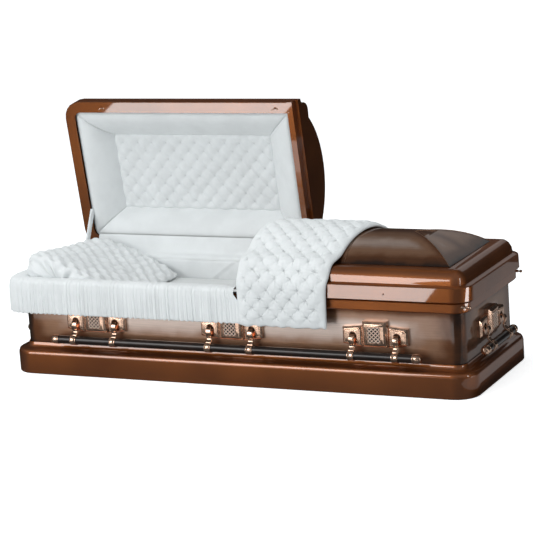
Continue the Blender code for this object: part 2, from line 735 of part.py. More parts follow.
def make_throw(parent, finishes):
    """Quilted cloth folded over the foot lid's cut end and hanging down the front."""
    inner_gap = 0.002
    back_y = CROWN_HALF_WIDTH + 0.020
    outer = throw_section(THROW_THICKNESS)
    face = -(LID_HALF_WIDTH + THROW_THICKNESS)
    outline = [(face, THROW_HEM), (face, LID_BOTTOM + 0.02)] + outer
    outline += [(back_y, crown_height(0.01) + THROW_THICKNESS), (back_y, THROW_HEM)]
    bm = extruded_outline(outline, THROW_END - THROW_START, THROW_START)
    item = add_object("throw", mesh_from(bm, "throw"), finishes["cloth"], parent)
    item.location = (0.0, -HINGE_Y, -HINGE_Z)
    inner = throw_section(inner_gap)
    face = -(LID_HALF_WIDTH + inner_gap)
    hollow = [(face, THROW_HEM - 0.05), (face, LID_BOTTOM + 0.02)] + inner
    hollow += [(back_y + 0.05, crown_height(0.0) + inner_gap), (back_y + 0.05, THROW_HEM - 0.05)]
    bm = extruded_outline(hollow, THROW_END, FOOT_CUT_LOW - 0.0035)
    lid_space = add_object("throw_lid_space", mesh_from(bm, "lid space"), collection="cutters")
    low = (THROW_START - 0.01, face, THROW_HEM - 0.05)
    body_space = block("throw_body_space", low, (THROW_END, back_y + 0.05, LID_BOTTOM + 0.012))
    for cutter in (lid_space, body_space):
        cutter.parent = parent
        cutter.location = (0.0, -HINGE_Y, -HINGE_Z)
        hide_cutter(cutter)
        boolean(item, cutter, "DIFFERENCE")
    smooth(item, 50.0)


def leaf_mesh(name, path, x_range, tabs):
    """A bent strip along X with a row of knuckles on the hinge line."""
    bm = bmesh.new()
    verts = [bm.verts.new((x_range[0], y, z)) for y, z in path]
    edges = [bm.edges.new((a, b)) for a, b in zip(verts, verts[1:])]
    pulled = bmesh.ops.extrude_edge_only(bm, edges=edges)
    moved = [v for v in pulled["geom"] if isinstance(v, bmesh.types.BMVert)]
    bmesh.ops.translate(bm, verts=moved, vec=(x_range[1] - x_range[0], 0.0, 0.0))
    bmesh.ops.recalc_face_normals(bm, faces=bm.faces)
    strip = add_object(name + "_strip", mesh_from(bm, name), collection="cutters")
    modifier = strip.modifiers.new("sheet", "SOLIDIFY")
    modifier.thickness = SHEET
    modifier.offset = 0.0
    modifier.use_even_offset = True
    helpers = [strip]
    for index, place in enumerate(tabs):
        bm = bmesh.new()
        bmesh.ops.create_cone(
            bm, cap_ends=True, segments=8, radius1=HINGE_RADIUS, radius2=HINGE_RADIUS, depth=KNUCKLE_LENGTH)
        barrel = add_object(f"{name}_barrel_{index}", mesh_from(bm, name), collection="cutters")
        barrel.rotation_euler = (0.0, math.radians(90.0), 0.0)
        barrel.location = (place, HINGE_Y, HINGE_Z)
        reach = HINGE_Y - HINGE_RADIUS - 0.003
        level = path[-1][1]
        low = (place - KNUCKLE_LENGTH * 0.5, reach, level - SHEET * 0.5)
        high = (place + KNUCKLE_LENGTH * 0.5, HINGE_Y - HINGE_RADIUS * 0.5, level + SHEET * 0.5)
        tab = block(f"{name}_tab_{index}", low, high)
        boolean(strip, barrel, "UNION")
        boolean(strip, tab, "UNION")
        helpers += [barrel, tab]
    mesh = evaluated_mesh(strip, name)
    for helper in helpers:
        bpy.data.objects.remove(helper, do_unlink=True)
    return mesh


def make_hinges(head, foot, finishes):
    """One leaf along the body and one on each lid, with knuckles that meet on the hinge line."""
    web_end = HINGE_Y - HINGE_RADIUS - 0.0012
    half = SHEET * 0.5
    back = RIM_HALF_WIDTH + GAP + half
    web = HINGE_Z - 0.0035
    body_path = [(back, BODY_TOP - HINGE_LEAF_DROP), (back, web), (web_end, web)]
    ends = HINGE_LEAF_END
    places = [share * ends for share in KNUCKLE_SHARES]
    mesh = leaf_mesh("body_hinge_leaf", body_path, (-ends, ends), places)
    add_object("body_hinge_leaf", mesh, finishes["steel"])
    lid_face = LID_HALF_WIDTH + GAP + half
    lid_web = HINGE_Z + 0.0035
    lid_path = [(lid_face, LID_BOTTOM + HINGE_LEAF_RISE), (lid_face, lid_web), (web_end, lid_web)]
    step = KNUCKLE_LENGTH + 0.001
    groups = (
        ("head_lid_hinge_leaf", head, (-ends, HEAD_CUT_LOW - 0.004), -1),
        ("foot_lid_hinge_leaf", foot, (FOOT_CUT_LOW + 0.004, ends), 1),
    )
    for name, parent, x_range, side in groups:
        tabs = [place + side * step for place in places if place * side > 0.0]
        first, last = x_range[0] + step * 0.5, x_range[1] - step * 0.5
        tabs = [place for place in tabs if first < place < last]
        item = add_object(name, leaf_mesh(name, lid_path, x_range, tabs), finishes["steel"], parent)
        item.location = (0.0, -HINGE_Y, -HINGE_Z)


def make_prop(head, finishes):
    """Covered stay beside the head end, pivoted on the lid and free to slide below."""
    rest_y = PROP_PIVOT_Y - HINGE_Y
    rest_z = LID_BOTTOM + PROP_LIFT - HINGE_Z
    opened = math.radians(-HEAD_LID_OPEN)
    pivot_y = HINGE_Y + rest_y * math.cos(opened) - rest_z * math.sin(opened)
    pivot_z = HINGE_Z + rest_y * math.sin(opened) + rest_z * math.cos(opened)
    drop = pivot_z - (LID_BOTTOM + PROP_LIFT)
    lean = math.radians(PROP_LEAN)
    length = drop / math.sin(lean)
    x = PROP_WIDTH * 0.25 - (LID_HALF_LENGTH - LID_FLANGE) + 0.0005
    empty = add_empty("prop_pivot", (x, pivot_y, pivot_z), (lean, 0.0, 0.0))
    radius = PROP_WIDTH * 0.5
    points = arc_points((0.0, 0.0), (radius, radius), 90, -90, 6)
    points += arc_points((-length, 0.0), (radius, radius), 270, 90, 6)
    bm = extruded_outline(points, PROP_WIDTH * 0.5, -PROP_WIDTH * 0.25)
    item = add_object("lid_prop_arm", mesh_from(bm, "prop"), finishes["cloth"], empty)
    smooth(item)
    return empty


def chamfered_plate(name, outline, depth, chamfer=LUG_CHAMFER):
    """A flat outline of (x, z) points pulled out from the wall, with its front edge chamfered."""
    bm = bmesh.new()
    face = bm.faces.new([bm.verts.new((x, 0.0, z)) for x, z in outline])
    pulled = bmesh.ops.extrude_face_region(bm, geom=[face])
    moved = [v for v in pulled["geom"] if isinstance(v, bmesh.types.BMVert)]
    bmesh.ops.translate(bm, verts=moved, vec=(0.0, -depth, 0.0))
    front = [e for e in bm.edges if all(abs(v.co.y + depth) < MERGE for v in e.verts)]
    bmesh.ops.bevel(bm, geom=front, offset=chamfer, segments=1, affect="EDGES", clamp_overlap=True)
    bmesh.ops.recalc_face_normals(bm, faces=bm.faces)
    return add_object(name, mesh_from(bm, name), collection="cutters")


def lug_mesh():
    """Cast lug: a middle plate and two sloping wings on a low web, with two round sockets."""
    half = LUG_WIDTH * 0.5
    plate = LUG_PLATE_WIDTH * 0.5
    inner = LUG_WING_INSET
    middle = [
        (-plate, -LUG_PLATE_BOTTOM), (plate, -LUG_PLATE_BOTTOM),
        (plate, LUG_PLATE_TOP), (-plate, LUG_PLATE_TOP),
    ]
    body = chamfered_plate("lug_plate", middle, LUG_PLATE_DEPTH)
    helpers = [body]
    for side in (-1, 1):
        wing = [
            (side * inner, -LUG_WING_INNER_BOTTOM), (side * half, -LUG_WING_OUTER_BOTTOM),
            (side * half, LUG_WING_OUTER_TOP), (side * inner, LUG_WING_INNER_TOP),
        ]
        solid = chamfered_plate(f"lug_wing_{side}", wing, LUG_WING_DEPTH)
        boolean(body, solid, "UNION")
        helpers.append(solid)
    reach = inner + LUG_CHAMFER
    low = (-reach, -LUG_WEB_DEPTH, LUG_CHAMFER - LUG_PLATE_BOTTOM)
    web = block("lug_web", low, (reach, 0.0, LUG_WING_INNER_TOP - LUG_CHAMFER))
    boolean(body, web, "UNION")
    middle_height = (LUG_PLATE_TOP - LUG_PLATE_BOTTOM) * 0.5
    low = (-PANEL_WIDTH * 0.5, -LUG_PLATE_DEPTH * 2.0, middle_height - PANEL_HEIGHT * 0.5)
    high = (PANEL_WIDTH * 0.5, PANEL_DEPTH - LUG_PLATE_DEPTH, middle_height + PANEL_HEIGHT * 0.5)
    panel = block("lug_panel", low, high)
    boolean(body, panel, "DIFFERENCE")
    helpers += [web, panel]
    for side in (-1, 1):
        bm = bmesh.new()
        bmesh.ops.create_cone(
            bm, cap_ends=True, segments=ROUND_SIDES, radius1=SOCKET_RADIUS, radius2=SOCKET_RADIUS,
            depth=SOCKET_DEPTH * 2.0)
        socket = add_object(f"lug_socket_{side}", mesh_from(bm, "socket"), collection="cutters")
        socket.rotation_euler = (math.radians(90.0), 0.0, 0.0)
        socket.location = (side * ARM_SPACING * 0.5, -LUG_WING_DEPTH, 0.0)
        boolean(body, socket, "DIFFERENCE")
        helpers.append(socket)
    mesh = evaluated_mesh(body, "lug")
    for helper in helpers:
        bpy.data.objects.remove(helper, do_unlink=True)
    return mesh


def round_stick(name, radius, length, place, sides=ROUND_SIDES):
    """A cylinder along X with its middle at a place."""
    bm = bmesh.new()
    bmesh.ops.create_cone(bm, cap_ends=True, segments=sides, radius1=radius, radius2=radius, depth=length)
    item = add_object(name, mesh_from(bm, name), collection="cutters")
    item.rotation_euler = (0.0, math.radians(90.0), 0.0)
    item.location = place
    return item


def arm_mesh():
    """Flat S-shaped arm from its barrel in the socket down to the band round the bar."""
    drop = BAR_DROP
    band_radius = BAR_RADIUS + GAP + BAND_THICKNESS
    meet = band_radius - BAND_THICKNESS * 0.5
    path = [
        (0.0, 0.0), (BAR_REACH * 0.32, -drop * 0.11), (BAR_REACH * 0.44, -drop * 0.28),
        (BAR_REACH * 0.38, -drop * 0.45), (BAR_REACH * 0.54, -drop * 0.60), (BAR_REACH * 1.06, meet - drop),
    ]
    near, far = [], []
    for index, (out, up) in enumerate(path):
        before = path[max(index - 1, 0)]
        after = path[min(index + 1, len(path) - 1)]
        run = Vector((after[0] - before[0], after[1] - before[1])).normalized() * ARM_THICKNESS * 0.5
        near.append((-(out + run.y), up - run.x))
        far.append((-(out - run.y), up + run.x))
    strap_mesh = mesh_from(extruded_outline(near + far[::-1], ARM_WIDTH, -ARM_WIDTH * 0.5), "strap")
    strap = add_object("arm_strap", strap_mesh, collection="cutters")
    bar_place = (0.0, -BAR_REACH, -drop)
    barrel = round_stick("arm_barrel", BARREL_RADIUS, ARM_WIDTH - GAP, (0.0, 0.0, 0.0), 8)
    band = round_stick("arm_band", band_radius, BAND_WIDTH, bar_place)
    bore = round_stick("arm_bore", BAR_RADIUS + GAP, BAND_WIDTH * 2.0, bar_place)
    boolean(band, strap, "UNION")
    boolean(band, barrel, "UNION")
    boolean(band, bore, "DIFFERENCE")
    mesh = evaluated_mesh(band, "arm")
    mesh.transform(band.matrix_world)
    for helper in (strap, barrel, band, bore):
        bpy.data.objects.remove(helper, do_unlink=True)
    return mesh


def bar_mesh(length):
    """Round bar between its two tips."""
    bm = bmesh.new()
    bmesh.ops.create_cone(
        bm, cap_ends=True, segments=ROUND_SIDES, radius1=BAR_RADIUS, radius2=BAR_RADIUS, depth=length)
    return mesh_from(bm, "bar")


def tip_object(name, material):
    """Turned cap for a bar end, along +X from its seat."""
    radius = BAR_RADIUS + TIP_OVERSIZE
    profile = [
        (TIP_LENGTH, 0.0), (TIP_LENGTH - 0.002, radius * 0.55), (TIP_LENGTH - 0.010, radius * 0.92),
        (TIP_LENGTH - 0.014, radius * 0.86), (0.004, radius), (0.0, radius * 0.9), (0.0, 0.0),
    ]
    mesh = bpy.data.meshes.new("tip")
    points = [(x, r, 0.0) for x, r in profile]
    mesh.from_pydata(points, [(i, i + 1) for i in range(len(points) - 1)], [])
    item = add_object(name, mesh, material)
    screw = item.modifiers.new("turn", "SCREW")
    screw.axis = "X"
    screw.steps = ROUND_SIDES
    screw.render_steps = ROUND_SIDES
    screw.use_merge_vertices = True
    screw.merge_threshold = 0.0001
    screw.use_normal_calculate = True
    return item


def side_frame(side):
    """Where a handle's side lies: turn about Z, and the wall's distance from the middle."""
    turns = {"front": 0.0, "foot": 90.0, "back": 180.0, "head": 270.0}
    distance = BODY_HALF_WIDTH if side in ("front", "back") else BODY_HALF_LENGTH
    return math.radians(turns[side]), distance


def side_point(side, along, outward, height):
    """A point given along a wall and out from it."""
    turn, distance = side_frame(side)
    x = along
    y = -(distance + outward)
    return (x * math.cos(turn) - y * math.sin(turn), x * math.sin(turn) + y * math.cos(turn), height)


def make_handles(finishes):
    """Lugs on the walls, and on each side a bar with its arms and tips, hung from its pivots."""
    lug = lug_mesh()
    arm = arm_mesh()
    arm.shade_smooth()
    arm.set_sharp_from_angle(angle=math.radians(40.0))
    layout = (
        ("front", LONG_BAR, (-LUG_SPACING, 0.0, LUG_SPACING)),
        ("back", LONG_BAR, (-LUG_SPACING, 0.0, LUG_SPACING)),
        ("head", SHORT_BAR, (0.0,)),
        ("foot", SHORT_BAR, (0.0,)),
    )
    bars = {length: bar_mesh(length - 2 * TIP_LENGTH) for length in (LONG_BAR, SHORT_BAR)}
    for side, length, places in layout:
        turn, _ = side_frame(side)
        for index, place in enumerate(places):
            suffix = f"_{index + 1}" if len(places) > 1 else ""
            item = add_object(f"{side}_lug{suffix}", lug, finishes["hardware"])
            item.location = side_point(side, place, GAP, PIVOT_HEIGHT)
            item.rotation_euler = (0.0, 0.0, turn)
        middle = side_point(side, 0.0, PIVOT_STANDOFF, PIVOT_HEIGHT)
        pivot = add_empty(f"{side}_handle_pivot", middle, (0.0, 0.0, turn))
        bar = add_object(f"{side}_bar", bars[length], finishes["bar"], pivot)
        bar.rotation_euler = (0.0, math.radians(90.0), 0.0)
        bar.location = (0.0, -BAR_REACH, -BAR_DROP)
        smooth(bar)
        for end, direction in (("a", 1), ("b", -1)):
            tip = tip_object(f"{side}_bar_tip_{end}", finishes["hardware"])
            tip.parent = pivot
            tip.location = (direction * (length * 0.5 - TIP_LENGTH + GAP), -BAR_REACH, -BAR_DROP)
            tip.rotation_euler = (0.0, 0.0, 0.0 if direction > 0 else math.radians(180.0))
            smooth(tip)
        spots = [place + shift * ARM_SPACING * 0.5 for place in places for shift in (-1, 1)]
        for index, spot in enumerate(spots):
            item = add_object(f"{side}_arm_{index + 1}", arm, finishes["hardware"], pivot)
            item.location = (spot, 0.0, 0.0)


def make_corner_caps(finishes):
    """Small turned caps on the rail's two foot-end corners, seated on its curve."""
    seat_rows = inset_rows(RIM_OUTLINE, [(-GAP, BODY_TOP - RIM_HEIGHT), (-GAP, BODY_TOP)])
    seat = add_object("corner_cap_seat", mesh_from(loft(seat_rows, capped=True), "seat"), collection="cutters")
    hide_cutter(seat)
    stem = CAP_BALL_RADIUS * 0.73
    neck = CAP_LENGTH - CAP_BALL_RADIUS * 2.2
    profile = [
        (CAP_LENGTH, 0.0), (CAP_LENGTH - CAP_BALL_RADIUS * 0.3, CAP_BALL_RADIUS * 0.65),
        (CAP_LENGTH - CAP_BALL_RADIUS * 1.2, CAP_BALL_RADIUS), (neck, stem), (0.0, stem), (0.0, 0.0),
    ]
    for name, side in (("corner_cap_front", -1), ("corner_cap_back", 1)):
        mesh = bpy.data.meshes.new(name)
        points = [(x, r, 0.0) for x, r in profile]
        mesh.from_pydata(points, [(i, i + 1) for i in range(len(points) - 1)], [])
        item = add_object(name, mesh, finishes["hardware"])
        screw = item.modifiers.new("turn", "SCREW")
        screw.axis = "X"
        screw.steps = ROUND_SIDES
        screw.render_steps = ROUND_SIDES
        screw.use_merge_vertices = True
        screw.merge_threshold = 0.0001
        screw.use_normal_calculate = True
        item.location = (CAP_END - CAP_LENGTH, side * CAP_SPREAD, CAP_HEIGHT)
        boolean(item, seat, "DIFFERENCE")
        smooth(item)


def main():
    clear_scene()
    finishes = make_finishes()
    make_base(finishes)
    make_bottom_pan(finishes)
    make_body_shell(finishes)
    make_body_rim(finishes)
    make_gasket(finishes)
    make_side_lining(finishes)
    make_bed(finishes)
    make_pillow(finishes)
    make_skirt(finishes)
    make_back_apron(finishes)
    make_corner_caps(finishes)
    hinge_line = (0.0, HINGE_Y, HINGE_Z)
    head = add_empty("head_lid_hinge", hinge_line, (math.radians(-HEAD_LID_OPEN), 0.0, 0.0))
    foot = add_empty("foot_lid_hinge", hinge_line)
    make_lid_rim("head_lid_rim", HEAD_CUT_LOW, HEAD_CUT_HIGH, LAP_HEIGHT, -1.0, head, finishes)
    make_lid_rim("foot_lid_rim", FOOT_CUT_LOW, FOOT_CUT_HIGH, FOOT_LAP_HEIGHT, 1.0, foot, finishes)
    make_crown("head_lid_crown", HEAD_CUT_HIGH, -1.0, head, finishes)
    make_crown("foot_lid_crown", FOOT_CUT_HIGH, 1.0, foot, finishes)
    make_head_padding(head, finishes)
    make_foot_lining(foot, finishes)
    make_throw(foot, finishes)
    make_hinges(head, foot, finishes)
    make_prop(head, finishes)
    make_handles(finishes)


main()
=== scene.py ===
# %% [markdown]
# # A half-couch casket, dressed for the camera
#
# A full-size adult casket in pressed sheet steel. The head lid stands open on its stay and shows a
# tufted cloth interior. The foot lid is shut under a quilted throw. The solid model gives every metal
# part its place; this lesson adds the finishes, the cloth and the small fittings, piece by piece.

import math

import bmesh
import bpy
import numpy as np
from mathutils import Matrix, Vector


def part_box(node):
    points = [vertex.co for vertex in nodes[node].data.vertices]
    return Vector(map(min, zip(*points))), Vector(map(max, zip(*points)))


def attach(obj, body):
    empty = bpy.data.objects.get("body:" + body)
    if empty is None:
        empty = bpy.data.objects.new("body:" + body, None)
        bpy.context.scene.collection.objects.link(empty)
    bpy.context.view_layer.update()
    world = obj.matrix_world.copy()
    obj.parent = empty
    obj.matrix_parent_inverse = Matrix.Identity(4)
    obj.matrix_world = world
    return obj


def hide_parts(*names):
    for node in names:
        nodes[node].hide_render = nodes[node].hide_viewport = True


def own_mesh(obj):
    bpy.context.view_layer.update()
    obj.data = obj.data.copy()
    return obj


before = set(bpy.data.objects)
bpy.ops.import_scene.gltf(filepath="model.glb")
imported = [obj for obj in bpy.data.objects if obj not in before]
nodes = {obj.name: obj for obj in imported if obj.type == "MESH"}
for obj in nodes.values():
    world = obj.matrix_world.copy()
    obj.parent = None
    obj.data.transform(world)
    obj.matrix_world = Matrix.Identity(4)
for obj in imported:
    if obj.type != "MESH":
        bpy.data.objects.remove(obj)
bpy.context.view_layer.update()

# %% [markdown]
# ## Camera and room
#
# The photograph looks down at the front from the foot end, from about nine metres, so the lines
# along the casket stay nearly parallel. A long lens does the same here. The room is a plain pale
# floor that curves up behind. Soft boxes light the cloth. The polished metal mirrors panels and floor
# cards of its own, which the camera doesn't see and which don't light the cloth.

# %% Camera
YAW, PITCH, ROLL = 0.4577, -0.2233, -0.0708
camera = bpy.data.objects.new("camera", bpy.data.cameras.new("camera"))
bpy.context.scene.collection.objects.link(camera)
forward = Vector((-math.sin(YAW) * math.cos(PITCH), math.cos(YAW) * math.cos(PITCH), math.sin(PITCH)))
level = forward.cross(Vector((0, 0, 1))).normalized()
upright = level.cross(forward)
right = math.cos(ROLL) * level + math.sin(ROLL) * upright
upward = -math.sin(ROLL) * level + math.cos(ROLL) * upright
turn = Matrix((right, upward, -forward)).transposed()
camera.matrix_world = Matrix.Translation((3.9845, -8.0770, 2.4609)) @ turn.to_4x4()
camera.data.sensor_width = 36.0
camera.data.lens = 147.27
camera.data.shift_x = 0.0083
camera.data.shift_y = 0.0044
camera.data.clip_end = 60.0
bpy.context.scene.camera = camera
print("camera at", tuple(round(v, 2) for v in camera.location))


# %% Floor, backdrop and lamps
def soft_box(name, place, target, size, power, colour=(1.0, 1.0, 1.0)):
    """A rectangular lamp aimed at a point."""
    data = bpy.data.lights.new(name, "AREA")
    data.shape = "RECTANGLE"
    data.size, data.size_y = size
    data.energy = power
    data.color = colour
    lamp = bpy.data.objects.new(name, data)
    bpy.context.scene.collection.objects.link(lamp)
    lamp.location = place
    lamp.rotation_euler = (Vector(target) - Vector(place)).to_track_quat("-Z", "Y").to_euler()
    return lamp


def backdrop():
    """A floor that sweeps up into a wall far behind."""
    bm = bmesh.new()
    profile = [(-14.0, 0.0), (13.0, 0.0)]
    for step in range(1, 9):
        angle = math.pi / 2 * step / 8
        profile.append((13.0 + 3.0 * math.sin(angle), 3.0 - 3.0 * math.cos(angle)))
    profile.append((16.0, 14.0))
    rows = [[bm.verts.new((x, y, z - 0.0005)) for x in (-16.0, 16.0)] for y, z in profile]
    for low, high in zip(rows, rows[1:]):
        bm.faces.new((low[0], low[1], high[1], high[0]))
    mesh = bpy.data.meshes.new("backdrop")
    bm.to_mesh(mesh)
    mesh.shade_smooth()
    item = bpy.data.objects.new("backdrop", mesh)
    bpy.context.scene.collection.objects.link(item)
    paper = bpy.data.materials.new("pale paper")
    paper.use_nodes = True
    shader = paper.node_tree.nodes["Principled BSDF"]
    shader.inputs["Base Color"].default_value = (0.88, 0.88, 0.88, 1.0)
    shader.inputs["Roughness"].default_value = 0.85
    shader.inputs["Emission Color"].default_value = (1.0, 1.0, 1.0, 1.0)
    shader.inputs["Emission Strength"].default_value = 0.62
    mesh.materials.append(paper)
    item.visible_glossy = False
    item.visible_diffuse = False
    return item


def room():
    """Even fill on cloth, and a dark studio with a faint lower glow for the gloss to mirror."""
    world = bpy.data.worlds.new("room")
    bpy.context.scene.world = world
    world.use_nodes = True
    tree = world.node_tree
    background = tree.nodes["Background"]
    path = tree.nodes.new("ShaderNodeLightPath")
    coordinate = tree.nodes.new("ShaderNodeTexCoord")
    split = tree.nodes.new("ShaderNodeSeparateXYZ")
    tree.links.new(coordinate.outputs["Generated"], split.inputs[0])
    height = tree.nodes.new("ShaderNodeValToRGB")
    remap = tree.nodes.new("ShaderNodeMath")
    remap.operation = "MULTIPLY_ADD"
    remap.inputs[1].default_value = 0.5
    remap.inputs[2].default_value = 0.5
    tree.links.new(split.outputs["Z"], remap.inputs[0])
    tree.links.new(remap.outputs[0], height.inputs["Fac"])
    stops = ((0.0, 0.08), (0.36, 0.12), (0.47, 0.07), (0.55, 0.12), (0.75, 0.24), (1.0, 0.20))
    ramp_elements = height.color_ramp.elements
    for index, (place, value) in enumerate(stops):
        element = ramp_elements[index] if index < 2 else ramp_elements.new(place)
        element.position = place
        element.color = (value, value, value, 1.0)
    choose = tree.nodes.new("ShaderNodeMix")
    choose.data_type = "RGBA"
    tree.links.new(path.outputs["Is Glossy Ray"], choose.inputs["Factor"])
    choose.inputs[6].default_value = (0.56, 0.585, 0.595, 1.0)
    behind = tree.nodes.new("ShaderNodeMapRange")
    behind.interpolation_type = "SMOOTHSTEP"
    for key, value in (("From Min", -0.5), ("From Max", 0.6), ("To Min", 1.0), ("To Max", 0.14)):
        behind.inputs[key].default_value = value
    tree.links.new(split.outputs["Y"], behind.inputs["Value"])
    dim = tree.nodes.new("ShaderNodeVectorMath")
    dim.operation = "SCALE"
    tree.links.new(height.outputs["Color"], dim.inputs[0])
    tree.links.new(behind.outputs["Result"], dim.inputs["Scale"])
    tree.links.new(dim.outputs["Vector"], choose.inputs[7])
    tree.links.new(choose.outputs[2], background.inputs["Color"])
    background.inputs["Strength"].default_value = 1.0


def mirrored(name, place, target, size, power):
    """A panel that only the polished metal sees."""
    panel = soft_box(name, place, target, size, power)
    panel.visible_camera = False
    panel.visible_diffuse = False
    return panel


CARD_HEIGHT, CARD_AIM, FAR_CARD_TURN = 0.02, 3.0, 0.29
backdrop()
for name, place, target, size, power in (
        ("top box", (-0.6, -0.9, 4.2), (0.0, 0.0, 0.4), (4.4, 2.6), 50),
        ("front box", (-2.2, -5.2, 1.9), (0.0, 0.0, 0.5), (3.6, 2.0), 115)):
    soft_box(name, place, target, size, power).visible_glossy = False
for name, place, target, size, power in (
        ("top reflector", (-0.6, -0.9, 4.2), (0.0, 0.0, 0.4), (4.4, 2.6), 140),
        ("right reflector", (5.2, -1.8, 2.0), (0.5, 0.0, 0.4), (0.5, 2.0), 14),
        ("back reflector", (0.3, 5.0, 3.0), (0.6, 0.0, 0.6), (2.8, 2.2), 6.0),
        ("front reflector", (-2.0, -4.0, 1.75), (0.4, -0.3, 0.5), (2.7, 2.4), 90)):
    mirrored(name, place, target, size, power)
for name, (x, y), size, power in (
        ("far floor card", (-0.53, -2.43), (1.2, 1.1), 18),
        ("middle floor card", (-0.30, -1.22), (2.9, 0.36), 4.5),
        ("right floor card", (1.7, 0.8), (1.2, 2.6), 2.8),
        ("corner floor card", (3.0, -0.20), (1.3, 0.9), 24),
        ("lid floor card", (-1.56, -1.94), (1.12, 0.62), 11)):
    card = mirrored(name, (x, y, CARD_HEIGHT), (x, y, CARD_AIM), size, power)
    if name == "far floor card":
        card.rotation_euler.rotate_axis("Z", FAR_CARD_TURN)
room()
bpy.context.scene.view_settings.view_transform = "Standard"
print("room ready")


# %% [markdown]
# ## Finishes
#
# The steel wears two finishes. Rims and mouldings are candy copper: a metallic brown under deep clear
# lacquer. The flat of the body and the crowns are brushed first, then shaded by hand with a spray gun,
# so they run from a greyish rose in the middle of each panel to orange and dark brown at its edges.
# Everything is worked out from each point's own place, so the finish moves with its lid.

# %% Node helpers
def new_material(name, metallic=0.0, roughness=0.5, **sockets):
    """A Principled material; returns it with its tree and shader."""
    material = bpy.data.materials.new(name)
    material.use_nodes = True
    tree = material.node_tree
    shader = tree.nodes["Principled BSDF"]
    shader.inputs["Metallic"].default_value = metallic
    shader.inputs["Roughness"].default_value = roughness
    for key, value in sockets.items():
        shader.inputs[key.replace("_", " ")].default_value = value
    return material, tree, shader


def add_node(tree, kind, inputs=None, **settings):
    """A node with its settings, its inputs set or linked."""
    node = tree.nodes.new(kind)
    for key, value in settings.items():
        setattr(node, key, value)
    for key, value in (inputs or {}).items():
        if isinstance(value, bpy.types.NodeSocket):
            tree.links.new(value, node.inputs[key])
        else:
            node.inputs[key].default_value = value
    return node


def calc(tree, operation, *values, clamp=False):
    """One step of arithmetic on sockets or numbers."""
    node = add_node(tree, "ShaderNodeMath", operation=operation, use_clamp=clamp)
    for index, value in enumerate(values):
        if isinstance(value, bpy.types.NodeSocket):
            tree.links.new(value, node.inputs[index])
        else:
            node.inputs[index].default_value = value
    return node.outputs[0]


def ramp(tree, factor, stops):
    """A colour ramp from (place, colour) stops."""
    node = add_node(tree, "ShaderNodeValToRGB", {"Fac": factor})
    node.color_ramp.interpolation = "EASE"
    for index, (place, colour) in enumerate(stops):
        element = node.color_ramp.elements[index] if index < 2 else node.color_ramp.elements.new(place)
        element.position = place
        element.color = (*colour, 1.0)
    return node.outputs["Color"]


def own_place(tree, scale=(1.0, 1.0, 1.0), location=(0.0, 0.0, 0.0), rotation=(0.0, 0.0, 0.0)):
    """The point's place on its own piece, turned and scaled."""
    coordinate = add_node(tree, "ShaderNodeTexCoord")
    mapping = add_node(tree, "ShaderNodeMapping", {
        "Vector": coordinate.outputs["Object"], "Scale": scale, "Location": location, "Rotation": rotation})
    return mapping.outputs["Vector"]


def noise(tree, vector, scale, detail=3.0, roughness=0.55):
    node = add_node(tree, "ShaderNodeTexNoise", {
        "Vector": vector, "Scale": scale, "Detail": detail, "Roughness": roughness})
    return node.outputs["Fac"]


def bump(tree, shader, height, distance, strength=1.0, normal=None):
    inputs = {"Height": height, "Distance": distance, "Strength": strength}
    if normal is not None:
        inputs["Normal"] = normal
    node = add_node(tree, "ShaderNodeBump", inputs)
    tree.links.new(node.outputs["Normal"], shader.inputs["Normal"])
    return node.outputs["Normal"]


# %% Candy copper for rims and mouldings
def candy_copper(name, deep=(0.19, 0.052, 0.009), bright=(0.33, 0.098, 0.019)):
    material, tree, shader = new_material(name, 0.90, 0.45, Coat_Weight=1.0, Coat_Roughness=0.03,
                                          Coat_IOR=1.8)
    place = own_place(tree)
    flake = noise(tree, place, 5200.0, 1.0)
    cloud = noise(tree, place, 2.3, 2.0)
    mix = calc(tree, "ADD", calc(tree, "MULTIPLY", cloud, 0.75), calc(tree, "MULTIPLY", flake, 0.25))
    tree.links.new(ramp(tree, mix, [(0.30, deep), (0.70, bright)]), shader.inputs["Base Color"])
    rough = calc(tree, "MULTIPLY_ADD", noise(tree, place, 60.0, 4.0), 0.10, 0.39)
    tree.links.new(rough, shader.inputs["Roughness"])
    return material


GLOSS = candy_copper("candy_copper")
print("candy copper ready")


# %% Brushed and shaded copper for the panels
CROWN_HALF_LENGTH = 0.9455
CROWN_HALF_WIDTH = 0.2362
LID_TURN = math.radians(81.2)
HINGE = Vector((0.0, 0.3607, 0.389))


